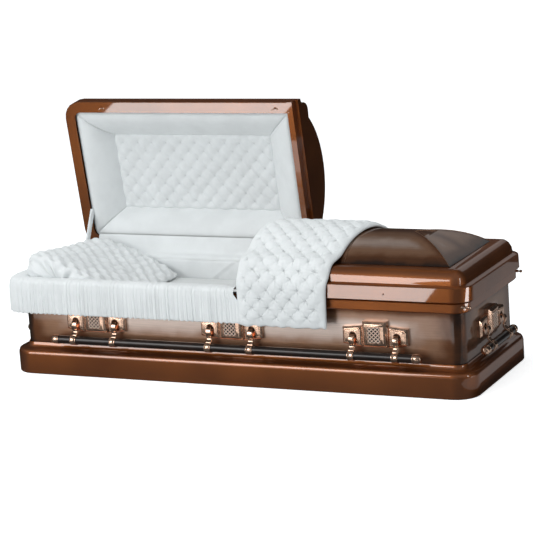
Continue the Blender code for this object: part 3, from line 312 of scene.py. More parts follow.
def shaded_copper(name, edge_distance, place, brush_scale):
    """Rose in the middle of a panel, orange toward its edges and dark brown along them."""
    material, tree, shader = new_material(name, 0.90, 0.42, Coat_Weight=1.0, Coat_Roughness=0.07,
                                          Coat_IOR=1.55)
    point = own_place(tree, **place)
    split = add_node(tree, "ShaderNodeSeparateXYZ", {"Vector": point})
    distance = edge_distance(tree, *split.outputs)
    wander = calc(tree, "MULTIPLY_ADD", noise(tree, point, 7.0, 3.0), 0.05, -0.025)
    distance = calc(tree, "ADD", distance, wander)
    shade = calc(tree, "DIVIDE", distance, 0.115, clamp=True)
    colour = ramp(tree, shade, [
        (0.0, (0.022, 0.009, 0.005)), (1.0, (0.66, 0.53, 0.46)), (0.22, (0.15, 0.055, 0.020)),
        (0.55, (0.34, 0.185, 0.110))])
    stretched = add_node(tree, "ShaderNodeMapping", {"Vector": point, "Scale": brush_scale})
    brushed = noise(tree, stretched.outputs["Vector"], 1.0, 5.0, 0.7)
    strength = calc(tree, "MULTIPLY_ADD", brushed, 0.8, 0.6)
    tint = add_node(tree, "ShaderNodeVectorMath", {0: colour}, operation="SCALE")
    tree.links.new(strength, tint.inputs["Scale"])
    tree.links.new(tint.outputs["Vector"], shader.inputs["Base Color"])
    rough = calc(tree, "MULTIPLY_ADD", brushed, 0.22, 0.32)
    tree.links.new(rough, shader.inputs["Roughness"])
    bump(tree, shader, brushed, 0.0002, 0.18)
    return material


def body_edges(tree, x, y, z):
    """Distance in from the panel's ends, its foot and its top rail."""
    from_end = calc(tree, "SUBTRACT", 1.010, calc(tree, "ABSOLUTE", x))
    from_side = calc(tree, "SUBTRACT", 0.3007, calc(tree, "ABSOLUTE", y))
    on_side = calc(tree, "LESS_THAN", from_side, 0.02)
    along = calc(tree, "MULTIPLY", calc(tree, "ADD", calc(tree, "MULTIPLY", from_end, on_side),
                 calc(tree, "MULTIPLY", from_side, calc(tree, "SUBTRACT", 1.0, on_side))), 0.42)
    low = calc(tree, "SUBTRACT", z, 0.118)
    high = calc(tree, "MULTIPLY", calc(tree, "SUBTRACT", 0.350, z), 1.6)
    return calc(tree, "SMOOTH_MIN", along, calc(tree, "SMOOTH_MIN", low, high, 0.03), 0.04)


def crown_edges(tree, x, y, z):
    """Distance from the crown's edges, its hips and its ridge; the darkening along the ridge is a painted
    reflection.
    """
    from_end = calc(tree, "SUBTRACT", CROWN_HALF_LENGTH, calc(tree, "ABSOLUTE", x))
    from_side = calc(tree, "SUBTRACT", CROWN_HALF_WIDTH, calc(tree, "ABSOLUTE", y))
    hip = calc(tree, "ABSOLUTE", calc(tree, "SUBTRACT", from_end, from_side))
    hip = calc(tree, "MULTIPLY_ADD", hip, 0.8, 0.030)
    # Painted reflection: the crown is darkened along its ridge.
    ridge = calc(tree, "MULTIPLY_ADD", calc(tree, "ABSOLUTE", y), 0.6, 0.028)
    edge = calc(tree, "SMOOTH_MIN", calc(tree, "MINIMUM", from_end, from_side), hip, 0.03)
    return calc(tree, "SMOOTH_MIN", edge, ridge, 0.03)


lid_back = {"rotation": (LID_TURN, 0.0, 0.0)}
unturned = HINGE - Matrix.Rotation(LID_TURN, 3, "X") @ HINGE
lid_back["location"] = tuple(unturned)
BODY = shaded_copper("shaded_copper_body", body_edges, {}, (6.0, 6.0, 420.0))
CROWN_FOOT = shaded_copper("shaded_copper_foot_crown", crown_edges, {}, (6.0, 300.0, 300.0))
CROWN_HEAD = shaded_copper("shaded_copper_head_crown", crown_edges, lid_back, (6.0, 300.0, 300.0))
print("shaded copper ready")


# %% [markdown]
# The handles are cast and plated in a rosy copper; their sockets and the face between plate and wings are
# coloured darker as painted shade, and the lace lies on an almost black ground that is painted shade too.
# The bars between them are enamelled almost black. Rubber, primed steel and the white crepe of the
# interior finish the set.
# Crepe has no shine of its own. Its surface is a very fine crinkle with a soft nap that catches light.

# %% Plate, enamel, rubber, steel
def plated(name, colour, roughness=0.16):
    material, tree, shader = new_material(name, 1.0, roughness)
    place = own_place(tree)
    cloud = noise(tree, place, 38.0, 3.0)
    darker = tuple(c * 0.62 for c in colour)
    tree.links.new(ramp(tree, cloud, [(0.32, darker), (0.62, colour)]), shader.inputs["Base Color"])
    tree.links.new(calc(tree, "MULTIPLY_ADD", cloud, 0.16, roughness - 0.07), shader.inputs["Roughness"])
    bump(tree, shader, noise(tree, place, 260.0, 2.0), 0.0002, 0.04)
    return material


def enamel(name):
    material, tree, shader = new_material(name, 0.0, 0.45, Coat_Weight=1.0, Coat_Roughness=0.05,
                                          Coat_IOR=1.38, Specular_IOR_Level=0.15)
    place = own_place(tree)
    cloud = noise(tree, place, 14.0, 3.0)
    tree.links.new(ramp(tree, cloud, [(0.3, (0.008, 0.004, 0.003)), (0.7, (0.020, 0.009, 0.006))]),
                   shader.inputs["Base Color"])
    bump(tree, shader, noise(tree, place, 60.0, 2.0), 0.0001, 0.03)
    return material


def plain_surface(name, low, high, metallic, roughness, scale, depth):
    material, tree, shader = new_material(name, metallic, roughness)
    place = own_place(tree)
    cloud = noise(tree, place, scale, 4.0)
    tree.links.new(ramp(tree, cloud, [(0.3, low), (0.7, high)]), shader.inputs["Base Color"])
    bump(tree, shader, noise(tree, place, scale * 9.0, 3.0), depth, 0.35)
    return material


PLATE = plated("rose_copper_plate", (0.86, 0.58, 0.43))
# Painted shade: the lug's sockets and the face of its back plate between plate and wings are coloured dark.
HOLLOW_SHADE = plated("hollow_painted_shade", (0.16, 0.085, 0.055), 0.38)
# Painted shade: the lace's sunk ground is coloured almost black.
LACE_GROUND_SHADE = plain_surface("lace_ground_painted_shade", (0.004, 0.003, 0.002), (0.012, 0.007, 0.005),
                            0.2, 0.75, 300.0, 0.0001)
LACE_WIRE = plain_surface("lace_wire", (0.60, 0.42, 0.33), (0.84, 0.66, 0.55), 0.35, 0.38, 300.0, 0.00005)
ENAMEL = enamel("dark_bar_enamel")
RUBBER = plain_surface("black_rubber", (0.008, 0.008, 0.008), (0.018, 0.018, 0.018), 0.0, 0.65, 40.0, 0.0002)
STEEL = plain_surface("primed_steel", (0.13, 0.12, 0.115), (0.24, 0.23, 0.22), 0.55, 0.45, 22.0, 0.0001)


# %% White crepe
def crepe(name, colour=(0.80, 0.825, 0.83), crinkle=0.5):
    material, tree, shader = new_material(name, 0.0, 0.88, Sheen_Weight=0.25, Sheen_Roughness=0.5)
    place = own_place(tree)
    fine = noise(tree, place, 950.0, 2.0, 0.6)
    ribs = add_node(tree, "ShaderNodeTexWave", {
        "Vector": place, "Scale": 260.0, "Distortion": 3.0, "Detail": 2.0, "Detail Scale": 4.0})
    cloud = noise(tree, place, 9.0, 3.0)
    shade = tuple(c * 0.94 for c in colour)
    plain = ramp(tree, cloud, [(0.3, shade), (0.65, colour)])
    # Painted shade: the crepe is darkened near each tie, where the cloth sinks into its dimple.
    tie = add_node(tree, "ShaderNodeAttribute", attribute_name="tie")
    dim = calc(tree, "MULTIPLY_ADD", tie.outputs["Fac"], -0.62, 1.0)
    tie_shaded_colour = add_node(tree, "ShaderNodeVectorMath", {0: plain}, operation="SCALE")
    tree.links.new(dim, tie_shaded_colour.inputs["Scale"])
    tree.links.new(tie_shaded_colour.outputs["Vector"], shader.inputs["Base Color"])
    height = calc(tree, "ADD", fine, calc(tree, "MULTIPLY", ribs.outputs["Fac"], 0.35))
    first = bump(tree, shader, height, 0.0006, crinkle)
    bump(tree, shader, noise(tree, place, 28.0, 3.0), 0.0022, 0.30, first)
    return material


CREPE = crepe("white_crepe")
# A darker copy of the white crepe for the bed: painted shade, as the bed lies low between the walls.
BED_CREPE_SHADED = crepe("bed_crepe_painted_shade", (0.69, 0.71, 0.705))
print("crepe ready")


# %% Give the metal nodes their finish
def dress(names, material, angle=30.0):
    """Put a finish on solid nodes and round their shading across the facets."""
    for name in names:
        item = nodes[name]
        item.data.materials.clear()
        item.data.materials.append(material)
        item.data.shade_smooth()
        weld = item.modifiers.new("weld", "WELD")
        weld.merge_threshold = 0.00001
        crisp = item.modifiers.new("crisp corners", "EDGE_SPLIT")
        crisp.split_angle = math.radians(angle)
        even = item.modifiers.new("even shading", "WEIGHTED_NORMAL")
        even.keep_sharp = True


dress(("base_moulding", "body_rim", "head_lid_rim", "foot_lid_rim"), GLOSS)
dress(("body_shell",), BODY)
dress(("foot_lid_crown",), CROWN_FOOT, 15.0)
dress(("head_lid_crown",), CROWN_HEAD, 15.0)
dress(("bottom_pan", "body_hinge_leaf", "head_lid_hinge_leaf", "foot_lid_hinge_leaf"), STEEL)
dress(("rim_gasket",), RUBBER)
dress([n for n in nodes if n.endswith("_bar")], ENAMEL)
dress([n for n in nodes if "_arm_" in n or "_tip_" in n or "_lug" in n or n.startswith("corner_cap")], PLATE)
print("metal dressed")


# %% [markdown]
# ## Cloth, sheet by sheet
#
# The interior is made by hand over wadding and board. Each piece below is a surface laid out as a
# grid, because cloth is a grid: rows across it, columns along it. A stitched pattern is then pressed
# into the surface along its own normal. That keeps the pattern in the cloth's measure, not in the room's.

# %% Grid helpers
def grid_mesh(name, points, wrap_rows=False, wrap_columns=False):
    """A mesh of quads from an array (rows, columns, 3)."""
    rows, columns = points.shape[:2]
    index = np.arange(rows * columns).reshape(rows, columns)
    if wrap_rows:
        index = np.vstack([index, index[:1]])
    if wrap_columns:
        index = np.hstack([index, index[:, :1]])
    quads = np.stack([index[:-1, :-1], index[1:, :-1], index[1:, 1:], index[:-1, 1:]], axis=-1).reshape(-1, 4)
    mesh = bpy.data.meshes.new(name)
    mesh.from_pydata(points.reshape(-1, 3).tolist(), [], quads.tolist())
    mesh.update()
    mesh.shade_smooth()
    return mesh


def surface_normals(points):
    """Unit normals of a grid of points."""
    along = np.gradient(points, axis=0)
    across = np.gradient(points, axis=1)
    normal = np.cross(along, across)
    length = np.linalg.norm(normal, axis=2, keepdims=True)
    return normal / np.maximum(length, 1e-9)


def tufting(u, v, pitch_u, pitch_v, puff, seed=1, slack=(0.34, 0.58), stars=0.14, wander=0.09, crisp=0.6):
    """Height of diamond tufting: ties on a staggered lattice, creases that fade between them."""
    p = u / pitch_u + v / pitch_v
    q = u / pitch_u - v / pitch_v
    chance = np.random.RandomState(seed).rand(64, 64) - 0.5
    near_p, near_q = np.rint(p).astype(int) % 64, np.rint(q).astype(int) % 64
    p = p + wander * chance[near_p, near_q]
    q = q + wander * chance[near_q, near_p]
    sp, sq = np.abs(np.sin(np.pi * p)), np.abs(np.sin(np.pi * q))
    soft_p = np.sqrt(sp ** 2 + (slack[0] * sq ** 2) ** 2)
    soft_q = np.sqrt(sq ** 2 + (slack[1] * sp ** 2) ** 2)
    pillow = (soft_p * soft_q) ** crisp
    fp, fq = p - np.rint(p), q - np.rint(q)
    du, dv = (fp + fq) * 0.5 * pitch_u, (fp - fq) * 0.5 * pitch_v
    radius = np.hypot(du, dv)
    dimple = 1.0 - np.exp(-(radius / (0.085 * pitch_u)) ** 2)
    angle = np.arctan2(dv, du)
    turn = chance[near_p, near_q]
    rays = np.cos(angle * 7.0 + 9.0 * turn) + 0.6 * np.cos(angle * 11.0 + 17.0 * turn)
    rays = rays * np.exp(-radius / (0.20 * pitch_u)) * dimple
    # Nearness to a tie, which the crepe uses to paint shade in the dimple.
    tie = np.exp(-(radius / 0.0026) ** 2) + 0.35 * np.exp(-(radius / 0.0060) ** 2)
    return puff * (0.80 * pillow + 0.20 * dimple + stars * rays), np.clip(tie, 0.0, 1.0)


def mark_tie_shade(mesh, tie):
    """Keep how near each point is to a tie, for the painted shade in the cloth's colour there."""
    layer = mesh.attributes.new("tie", "FLOAT", "POINT")
    layer.data.foreach_set("value", tie.astype(np.float32).ravel())


def waves(s, seed, pitch, count=5, spread=0.35):
    """A smooth irregular wave along a length, from a few sines of near pitch."""
    random = np.random.RandomState(seed)
    total = np.zeros_like(s)
    for _ in range(count):
        own = pitch * (1.0 + spread * (random.rand() * 2.0 - 1.0))
        total = total + np.sin(2.0 * np.pi * s / own + random.rand() * 6.28)
    return total / math.sqrt(count)


def add_piece(name, mesh, material, body, *replaced, slot=None):
    """Link a finished piece, let it ride on a body and stand for solid nodes."""
    item = bpy.data.objects.new(name, mesh)
    bpy.context.scene.collection.objects.link(item)
    mesh.materials.append(material)
    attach(item, body)
    if replaced:
        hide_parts(*replaced)
    return item


def solid_sheet(item, thickness, outward=1.0):
    """Give a grid its cloth thickness."""
    modifier = item.modifiers.new("cloth thickness", "SOLIDIFY")
    modifier.thickness = thickness
    modifier.offset = outward
    return item


def opened(points):
    """Carry points drawn on the shut head lid to where the lid stands open."""
    turned = Matrix.Rotation(-LID_TURN, 3, "X")
    flat = points.reshape(-1, 3) - np.array(HINGE)
    return (flat @ np.array(turned).T + np.array(HINGE)).reshape(points.shape)


# %% [markdown]
# ### The tufted cap panel
#
# The middle of the open lid is a board covered in wadding and crepe, tied down on a staggered
# lattice, 73 mm along and 39 mm between rows. Between the ties the cloth stands up in diamonds, and
# its spare width folds into slanting pleats.

# %% Cap panel
LID_BOTTOM = 0.391
PANEL_X = (-0.880, -0.101)
PANEL_Y = (-0.1577, 0.1937)


def cap_panel():
    xs = np.linspace(PANEL_X[0] + 0.001, PANEL_X[1] - 0.001, 278)
    ys = np.linspace(PANEL_Y[0] + 0.001, PANEL_Y[1] - 0.001, 126)
    x, y = np.meshgrid(xs, ys, indexing="ij")
    u, v = x - PANEL_X[0], y - PANEL_Y[0]
    height, tie = tufting(u, v, 0.0730, 0.0780, 0.0120, seed=3, slack=(0.66, 0.42), stars=0.06, wander=0.035)
    margin = np.minimum(np.minimum(u, PANEL_X[1] - x), np.minimum(v, PANEL_Y[1] - y))
    rise = np.clip(margin / 0.012, 0.0, 1.0) ** 0.5
    z = LID_BOTTOM + 0.122 - height * rise
    points = opened(np.stack([x, y, z], axis=-1))
    mesh = grid_mesh("cap_panel", points)
    mark_tie_shade(mesh, tie * rise)
    item = add_piece("cap_panel", mesh, CREPE, "head_lid", "head_lid_quilted_panel", slot="white_crepe")
    solid_sheet(item, 0.008, outward=-1.0)
    return item


panel = cap_panel()
print("cap panel", len(panel.data.polygons), "quads")


# %% [markdown]
# ### The four padded borders
#
# Round the panel run four wide bolsters, cut with mitred corners. Each is stretched cloth over foam,
# so it is smooth, full in the middle and drawn in at the seams.

# %% Lid borders
OPENING_X = (-1.0045, 0.0485)
OPENING_Y = (-0.2952, 0.2952)


def lid_border():
    """One ring: columns run round the opening, rows go from the flange to the panel."""
    outer = [(OPENING_X[0], OPENING_Y[0]), (OPENING_X[1], OPENING_Y[0]), (OPENING_X[1], OPENING_Y[1]),
             (OPENING_X[0], OPENING_Y[1])]
    inner = [(PANEL_X[0], PANEL_Y[0]), (PANEL_X[1], PANEL_Y[0]), (PANEL_X[1], PANEL_Y[1]),
             (PANEL_X[0], PANEL_Y[1])]
    counts = (150, 60, 150, 60)
    rounding = (0.030, 0.012, 0.012, 0.030)
    steps = 44
    across = np.linspace(0.0, 1.0, steps)
    columns = []
    for side in range(4):
        a0, a1 = np.array(outer[side]), np.array(outer[(side + 1) % 4])
        b0, b1 = np.array(inner[side]), np.array(inner[(side + 1) % 4])
        for k in range(counts[side]):
            t = k / counts[side]
            start, end = a0 + (a1 - a0) * t, b0 + (b1 - b0) * t
            length = np.linalg.norm(a1 - a0)
            near_start, near_end = t * length, (1.0 - t) * length
            seam = 1.0 - 0.80 * math.exp(-near_start / 0.006) - 0.80 * math.exp(-near_end / 0.006)
            for radius, away, corner, far in (
                    (rounding[side], near_start, a0, b0), (rounding[(side + 1) % 4], near_end, a1, b1)):
                if away < radius:
                    pull = radius * 0.30 * (1.0 - away / radius) ** 2
                    start = start + (far - corner) / np.linalg.norm(far - corner) * pull
            plan = start[None, :] + (end - start)[None, :] * across[:, None]
            columns.append((plan, seam, side, t, length))
    points = np.zeros((len(columns), steps, 3))
    for index, (plan, seam, side, t, length) in enumerate(columns):
        bulge = np.sin(np.pi * across) ** 0.6
        roll = np.clip(across / 0.10, 0.0, 1.0)
        sink = 0.021 + 0.101 * across ** 1.45
        crease = 0.0005 * math.sin(math.tau * t * length / 0.21 + side) * np.sin(np.pi * across) ** 2
        swell = (0.020 * bulge * seam + crease) * roll
        points[index, :, :2] = plan
        points[index, :, 2] = LID_BOTTOM + sink - swell
    points = opened(points)
    item = add_piece("lid_border", grid_mesh("lid_border", points, wrap_rows=True), CREPE, "head_lid",
                     "head_lid_border_padding", slot="white_crepe")
    solid_sheet(item, 0.006, outward=-1.0)
    return item


border = lid_border()
print("lid border", len(border.data.polygons), "quads")

# %% [markdown]
# ### The gathered skirt
#
# The skirt is one long strip of crepe, gathered on a thread to about five sixths of its length. It is
# fixed inside the rim, rolls over it and hangs outside. The gathers are tight at the thread and open
# toward the hem, which swings in and out a little.

# %% Skirt
RIM_X, RIM_Y, RIM_CORNER = 1.039, 0.3297, 0.0665
SKIRT_END_X, SKIRT_END_Y = 0.043, 0.200
SKIRT_STEP = 0.0021


def skirt_line(step):
    """Points and outward directions along the rim: front, corner, head end."""
    points, outs = [], []
    x = SKIRT_END_X
    while x > -(RIM_X - RIM_CORNER):
        points.append((x, -RIM_Y))
        outs.append((0.0, -1.0))
        x -= step
    turns = int(RIM_CORNER * math.pi / 2 / step)
    for k in range(turns):
        angle = math.pi / 2 * k / turns
        out = (-math.sin(angle), -math.cos(angle))
        centre = (-(RIM_X - RIM_CORNER), -(RIM_Y - RIM_CORNER))
        points.append((centre[0] + RIM_CORNER * out[0], centre[1] + RIM_CORNER * out[1]))
        outs.append(out)
    y = -(RIM_Y - RIM_CORNER)
    while y < SKIRT_END_Y:
        points.append((-RIM_X, y))
        outs.append((-1.0, 0.0))
        y += step
    return np.array(points), np.array(outs)


def smooth_path(knots, count):
    """An even run of points on a rounded line through knots."""
    knots = np.array(knots, float)
    for _ in range(3):
        cut = np.empty((len(knots) * 2, 2))
        cut[0], cut[-1] = knots[0], knots[-1]
        cut[1:-1:2] = knots[:-1] * 0.75 + knots[1:] * 0.25
        cut[2:-1:2] = knots[:-1] * 0.25 + knots[1:] * 0.75
        knots = cut
    length = np.concatenate([[0.0], np.cumsum(np.linalg.norm(np.diff(knots, axis=0), axis=1))])
    even = np.linspace(0.0, length[-1], count)
    return np.stack([np.interp(even, length, knots[:, i]) for i in range(2)], axis=1)


def skirt():
    line, outs = skirt_line(SKIRT_STEP)
    s = np.arange(len(line)) * SKIRT_STEP
    section = smooth_path([(-0.058, 0.394), (-0.052, 0.412), (-0.020, 0.421), (0.020, 0.419), (0.033, 0.398),
                           (0.035, 0.350), (0.036, 0.274)], 42)
    fall = np.linspace(0.0, 1.0, len(section))
    tangent = np.gradient(section, axis=0)
    tangent /= np.linalg.norm(tangent, axis=1, keepdims=True)
    face = np.stack([-tangent[:, 1], tangent[:, 0]], axis=1)
    face *= np.sign((face * (section - np.array([0.0, 0.36]))).sum(axis=1, keepdims=True))
    opening = np.clip((fall - 0.50) / 0.5, 0.0, 1.0)
    strength = 0.0007 + 0.0012 * np.clip((fall - 0.25) / 0.2, 0.0, 1.0) + 0.0016 * opening
    stitch = 0.0016 * np.exp(-((fall - 0.50) / 0.012) ** 2)
    shift = np.outer(np.ones_like(s), fall)
    base = s[:, None] + 0.0025 * waves(s, 5, 0.11)[:, None] * shift
    fine = waves(base, 7, 0.0098, 5, 0.28)
    wide = waves(base, 9, 0.0215, 5, 0.35)
    fine = np.sign(fine) * np.abs(fine) ** 0.8
    swing = waves(s, 11, 0.22)[:, None] * shift ** 2
    ripple = (0.66 * fine + 0.60 * wide) * strength[None, :] + 0.0014 * swing - stitch[None, :]
    out = section[None, :, 0] + face[None, :, 0] * ripple
    up = section[None, :, 1] + face[None, :, 1] * ripple
    hem = 0.0016 * waves(s, 13, 0.020)[:, None] * np.clip((shift - 0.8) / 0.2, 0.0, 1.0)
    up = up + hem
    points = np.zeros((len(s), len(section), 3))
    reach = 0.023 * np.exp(-s / 0.030)[:, None] * np.clip((shift - 0.48) / 0.12, 0.0, 1.0)
    points[:, :, 0] = line[:, None, 0] + outs[:, None, 0] * out + reach
    points[:, :, 1] = line[:, None, 1] + outs[:, None, 1] * out
    points[:, :, 2] = up
    item = add_piece("skirt", grid_mesh("skirt", points), CREPE, "casket", "gathered_skirt",
                     slot="white_crepe")
    solid_sheet(item, 0.0012, outward=0.0)
    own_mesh(item)
    return item


skirt()

# %% [markdown]
# ### The throw
#
# A quilted throw covers the joint of the lids. It is fixed inside the foot lid, comes up over the cut
# end and lies on the crown with one end hanging down the front. It is thin wadding between two crepes,
# tied like the cap, so each tie pulls a little star of pleats around itself.

# %% Throw
CROWN_RADIUS = 0.363


def crown_top(y):
    """Height of the crown over a distance from the middle."""
    edge = math.sqrt(CROWN_RADIUS ** 2 - CROWN_HALF_WIDTH ** 2)
    return 0.5119 + math.sqrt(max(CROWN_RADIUS ** 2 - y * y, 0.0)) - edge


def throw_lines():
    """Section over the foot lid from the front hem to the back edge."""
    over = [(-0.353, 0.270), (-0.353, 0.330), (-0.352, 0.400), (-0.350, 0.447), (-0.326, 0.470),
            (-0.300, 0.516), (-0.262, 0.525)]
    for y in np.linspace(-0.215, 0.235, 12):
        over.append((y * 1.01, crown_top(y) + 0.006))
    return over


def throw():
    section = smooth_path(throw_lines(), 320)
    length = np.concatenate([[0.0], np.cumsum(np.linalg.norm(np.diff(section, axis=0), axis=1))])
    across = np.linspace(0.0, 1.0, 136)
    across = across + 0.012 * np.sin(math.tau * across)
    stations = [0.0, 0.14, 0.26, 0.42, 0.60, length[-1]]
    left = np.interp(length, stations, [0.064, 0.062, 0.056, 0.050, 0.052, 0.053])
    end = np.interp(length, stations, [0.446, 0.450, 0.460, 0.478, 0.506, 0.520])
    points = np.zeros((len(section), len(across), 3))
    points[:, :, 0] = left[:, None] + (end - left)[:, None] * across[None, :]
    points[:, :, 1] = section[:, None, 0]
    points[:, :, 2] = section[:, None, 1]
    normal = surface_normals(points)
    if normal[150, 50, 2] < 0:
        normal = -normal
    u = length[:, None] + 0.0 * across[None, :]
    v = (end - left)[:, None] * across[None, :]
    height, tie = tufting(v, u, 0.0690, 0.0760, 0.0120, seed=21, slack=(0.40, 0.50), stars=0.26,
                          wander=0.08, crisp=0.48)
    margin = np.minimum(np.minimum(v, (end - left)[:, None] - v), u)
    roll = np.sqrt(1.0 - (1.0 - np.clip(margin / 0.010, 0.0, 1.0)) ** 2)
    height = 0.008 * roll + height * np.clip((margin - 0.004) / 0.034, 0.0, 1.0) ** 0.8 - 0.001
    sway = 0.004 * waves(v, 31, 0.16) * np.clip(1.0 - u / 0.13, 0.0, 1.0)
    points = points + normal * (height + sway)[:, :, None]
    hem = 0.003 * waves(v[0], 33, 0.075)
    points[:, :, 2] += hem[None, :] * np.clip(1.0 - u / 0.06, 0.0, 1.0)
    mesh = grid_mesh("throw_quilt", points)
    mark_tie_shade(mesh, 0.8 * tie * np.clip((margin - 0.004) / 0.02, 0.0, 1.0))
    item = add_piece("throw_quilt", mesh, CREPE, "foot_lid", "throw", slot="white_crepe")
    solid_sheet(item, 0.006, outward=-1.0)
    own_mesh(item)
    return item


throw()
print("throw ready")

# %% [markdown]
# ### The pillow
#
# The pillow is a long wedge cushion that fills the head end, high against the wall and thin toward the
# bed. Its cover is drawn in by ties, so it puckers into fat puffs. One closed line gives its side view;
# the line is carried across the casket, drawn together at both ends, and the ties are pressed in last.

# %% Pillow
PILLOW_START, PILLOW_LONG, PILLOW_HIGH = -0.966, 0.448, 0.178
PILLOW_SIDE_VIEW = [
    (0.50, 0.000), (0.20, 0.000), (0.03, 0.010), (-0.025, 0.12), (-0.035, 0.40), (-0.030, 0.70),
    (0.000, 0.93), (0.070, 1.020), (0.160, 1.000), (0.280, 0.905), (0.490, 0.700), (0.700, 0.480), (0.860, 0.300),
    (0.955, 0.165), (0.995, 0.070), (0.970, 0.010), (0.850, 0.000), (0.50, 0.000)]


def pillow():
    side_view = smooth_path(PILLOW_SIDE_VIEW, 181)[:-1]
    ends = np.sin(np.linspace(-1.0, 1.0, 150) * math.pi / 2 * 0.995)
    across = np.sign(ends) * np.abs(ends) ** 0.95
    full = (1.0 - np.abs(across) ** 15) ** 0.38
    middle = np.array([0.34, 0.34])
    share = middle + (side_view[None, :, :] - middle) * full[:, None, None]
    over_rim = np.clip((share[:, :, 1] - 0.36) / 0.30, 0.0, 1.0) ** 0.7
    y = across[:, None] * (0.270 + 0.030 * over_rim)
    rise = 1.0 + y * (0.6 * y - 0.55)
    head = PILLOW_START - 0.020 * over_rim * np.clip(1.0 - share[:, :, 0] / 0.25, 0.0, 1.0)
    points = np.stack([head + PILLOW_LONG * share[:, :, 0], y,
                       0.3025 + PILLOW_HIGH * rise * share[:, :, 1]], axis=-1)
    normal = surface_normals(points)
    if normal[75, 90, 2] < 0.0:
        normal = -normal
    along = np.concatenate([[0.0], np.cumsum(np.linalg.norm(np.diff(points[75], axis=0), axis=1))])
    u = along[None, :] + 0.0 * y
    puffs, tie = tufting(u, y, 0.074, 0.066, 0.0125, seed=41, slack=(0.85, 0.85), stars=0.30,
                         wander=0.26, crisp=0.8)
    loose = 0.0020 * waves(u + 0.35 * y, 43, 0.085) * waves(y - 0.3 * u, 44, 0.11)
    above = np.clip((share[:, :, 1] - 0.02) / 0.10, 0.0, 1.0) * np.clip(full / 0.5, 0.0, 1.0)[:, None]
    points = points + normal * ((puffs - 0.0095 + loose) * above)[:, :, None]
    mesh = grid_mesh("pillow_cushion", points, wrap_columns=True)
    mark_tie_shade(mesh, 0.5 * tie * above)
    item = add_piece("pillow_cushion", mesh, CREPE, "casket", "pillow", slot="white_crepe")
    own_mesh(item)
    return item


cushion = pillow()
print("pillow", len(cushion.data.polygons), "quads")


# %% [markdown]
# ### Bed and wall lining
#
# The bed is wadding under one plain stretched cover, so it is nearly flat and only its edges roll
# over. The walls are lined with one padded strip that runs all the way round. It is stapled under the
# rim, rolls over the top and is tucked in under the bed, and it shows a few slack diagonal folds.

# %% Bed
BED_HALF = (0.9795, 0.2700)


def rounded_share(count, power):
    """Places and heights over a rounded block, closer together near its edges."""
    angle = np.linspace(-1.0, 1.0, count) * math.pi / 2
    place = np.sign(np.sin(angle)) * np.abs(np.sin(angle)) ** (2.0 / power)
    return place, np.abs(np.cos(angle)) ** (2.0 / power)


def bed():
    a, high_a = rounded_share(220, 26.0)
    b, high_b = rounded_share(90, 12.0)
    sheets = []
    for side in (1.0, -1.0):
        full = np.outer(high_a, high_b)
        x = BED_HALF[0] * a[:, None] + 0.0 * full
        y = BED_HALF[1] * b[None, :] + 0.0 * full
        z = 0.250 + side * 0.0490 * full
        if side > 0:
            fold = (np.exp(-((y - 0.45 * (x - 0.05)) / 0.010) ** 2)
                    - 0.6 * np.exp(-((y - 0.45 * (x - 0.02)) / 0.016) ** 2))
            dome = 0.0042 * (1.0 - b[None, :] ** 2) * (1.0 - a[:, None] ** 4)
            slack = 0.0012 * waves(x + 0.6 * y, 61, 0.34) + 0.0008 * waves(y - 0.3 * x, 62, 0.19)
            z = z + (dome + slack + 0.0022 * fold) * full ** 3
        sheets.append(np.stack([x, y, z], axis=-1))
    bm = bmesh.new()
    for points in sheets:
        part = grid_mesh("bed_part", points)
        bm.from_mesh(part)
        bpy.data.meshes.remove(part)
    bmesh.ops.remove_doubles(bm, verts=bm.verts, dist=0.00002)
    bmesh.ops.recalc_face_normals(bm, faces=bm.faces)
    mesh = bpy.data.meshes.new("bed_cover")
    bm.to_mesh(mesh)
    bm.free()
    mesh.shade_smooth()
    # The bed wears the darker crepe, painted shade.
    item = add_piece("bed_cover", mesh, BED_CREPE_SHADED, "casket", "bed_mattress", slot="white_crepe")
    return item


print("bed", len(bed().data.polygons), "quads")


# %% Wall lining
LINING_CORNER = 0.052
LINING_SECTION = [(0.0035, 0.1810), (0.0025, 0.2300), (0.0025, 0.3600), (0.0030, 0.3735), (0.0120, 0.3742),
                  (0.0200, 0.3778), (0.0262, 0.3760), (0.0285, 0.3650), (0.0288, 0.3200), (0.0284, 0.2400),
                  (0.0284, 0.2020), (0.0330, 0.1994), (0.0770, 0.1994), (0.0776, 0.1900), (0.0770, 0.1803),
                  (0.0300, 0.1800), (0.0035, 0.1810)]


def wall_ring(step=0.009):
    """Points round the inside of the body, and the directions inwards."""
    half_x, half_y = 1.010, 0.3007
    radius = LINING_CORNER
    points, insides = [], []
    sides = [((-1, -1), (1, -1), (0, 1)), ((1, -1), (1, 1), (-1, 0)),
             ((1, 1), (-1, 1), (0, -1)), ((-1, 1), (-1, -1), (1, 0))]
    for (ax, ay), (bx, by), inside in sides:
        straight = 2 * (half_x if inside[0] == 0 else half_y) - 2 * radius
        count = int(straight / step)
        for k in range(count):
            t = k / count
            if inside[0] == 0:
                place = (ax * (half_x - radius) + (bx - ax) * (half_x - radius) * t, ay * half_y)
            else:
                place = (ax * half_x, ay * (half_y - radius) + (by - ay) * (half_y - radius) * t)
            points.append(place)
            insides.append(inside)
        centre = (bx * (half_x - radius), by * (half_y - radius))
        turns = 10
        start = math.atan2(-inside[1], -inside[0])
        for k in range(turns):
            angle = start + math.pi / 2 * k / turns
            out = (math.cos(angle), math.sin(angle))
            points.append((centre[0] + radius * out[0], centre[1] + radius * out[1]))
            insides.append((-out[0], -out[1]))
    return np.array(points), np.array(insides, float)


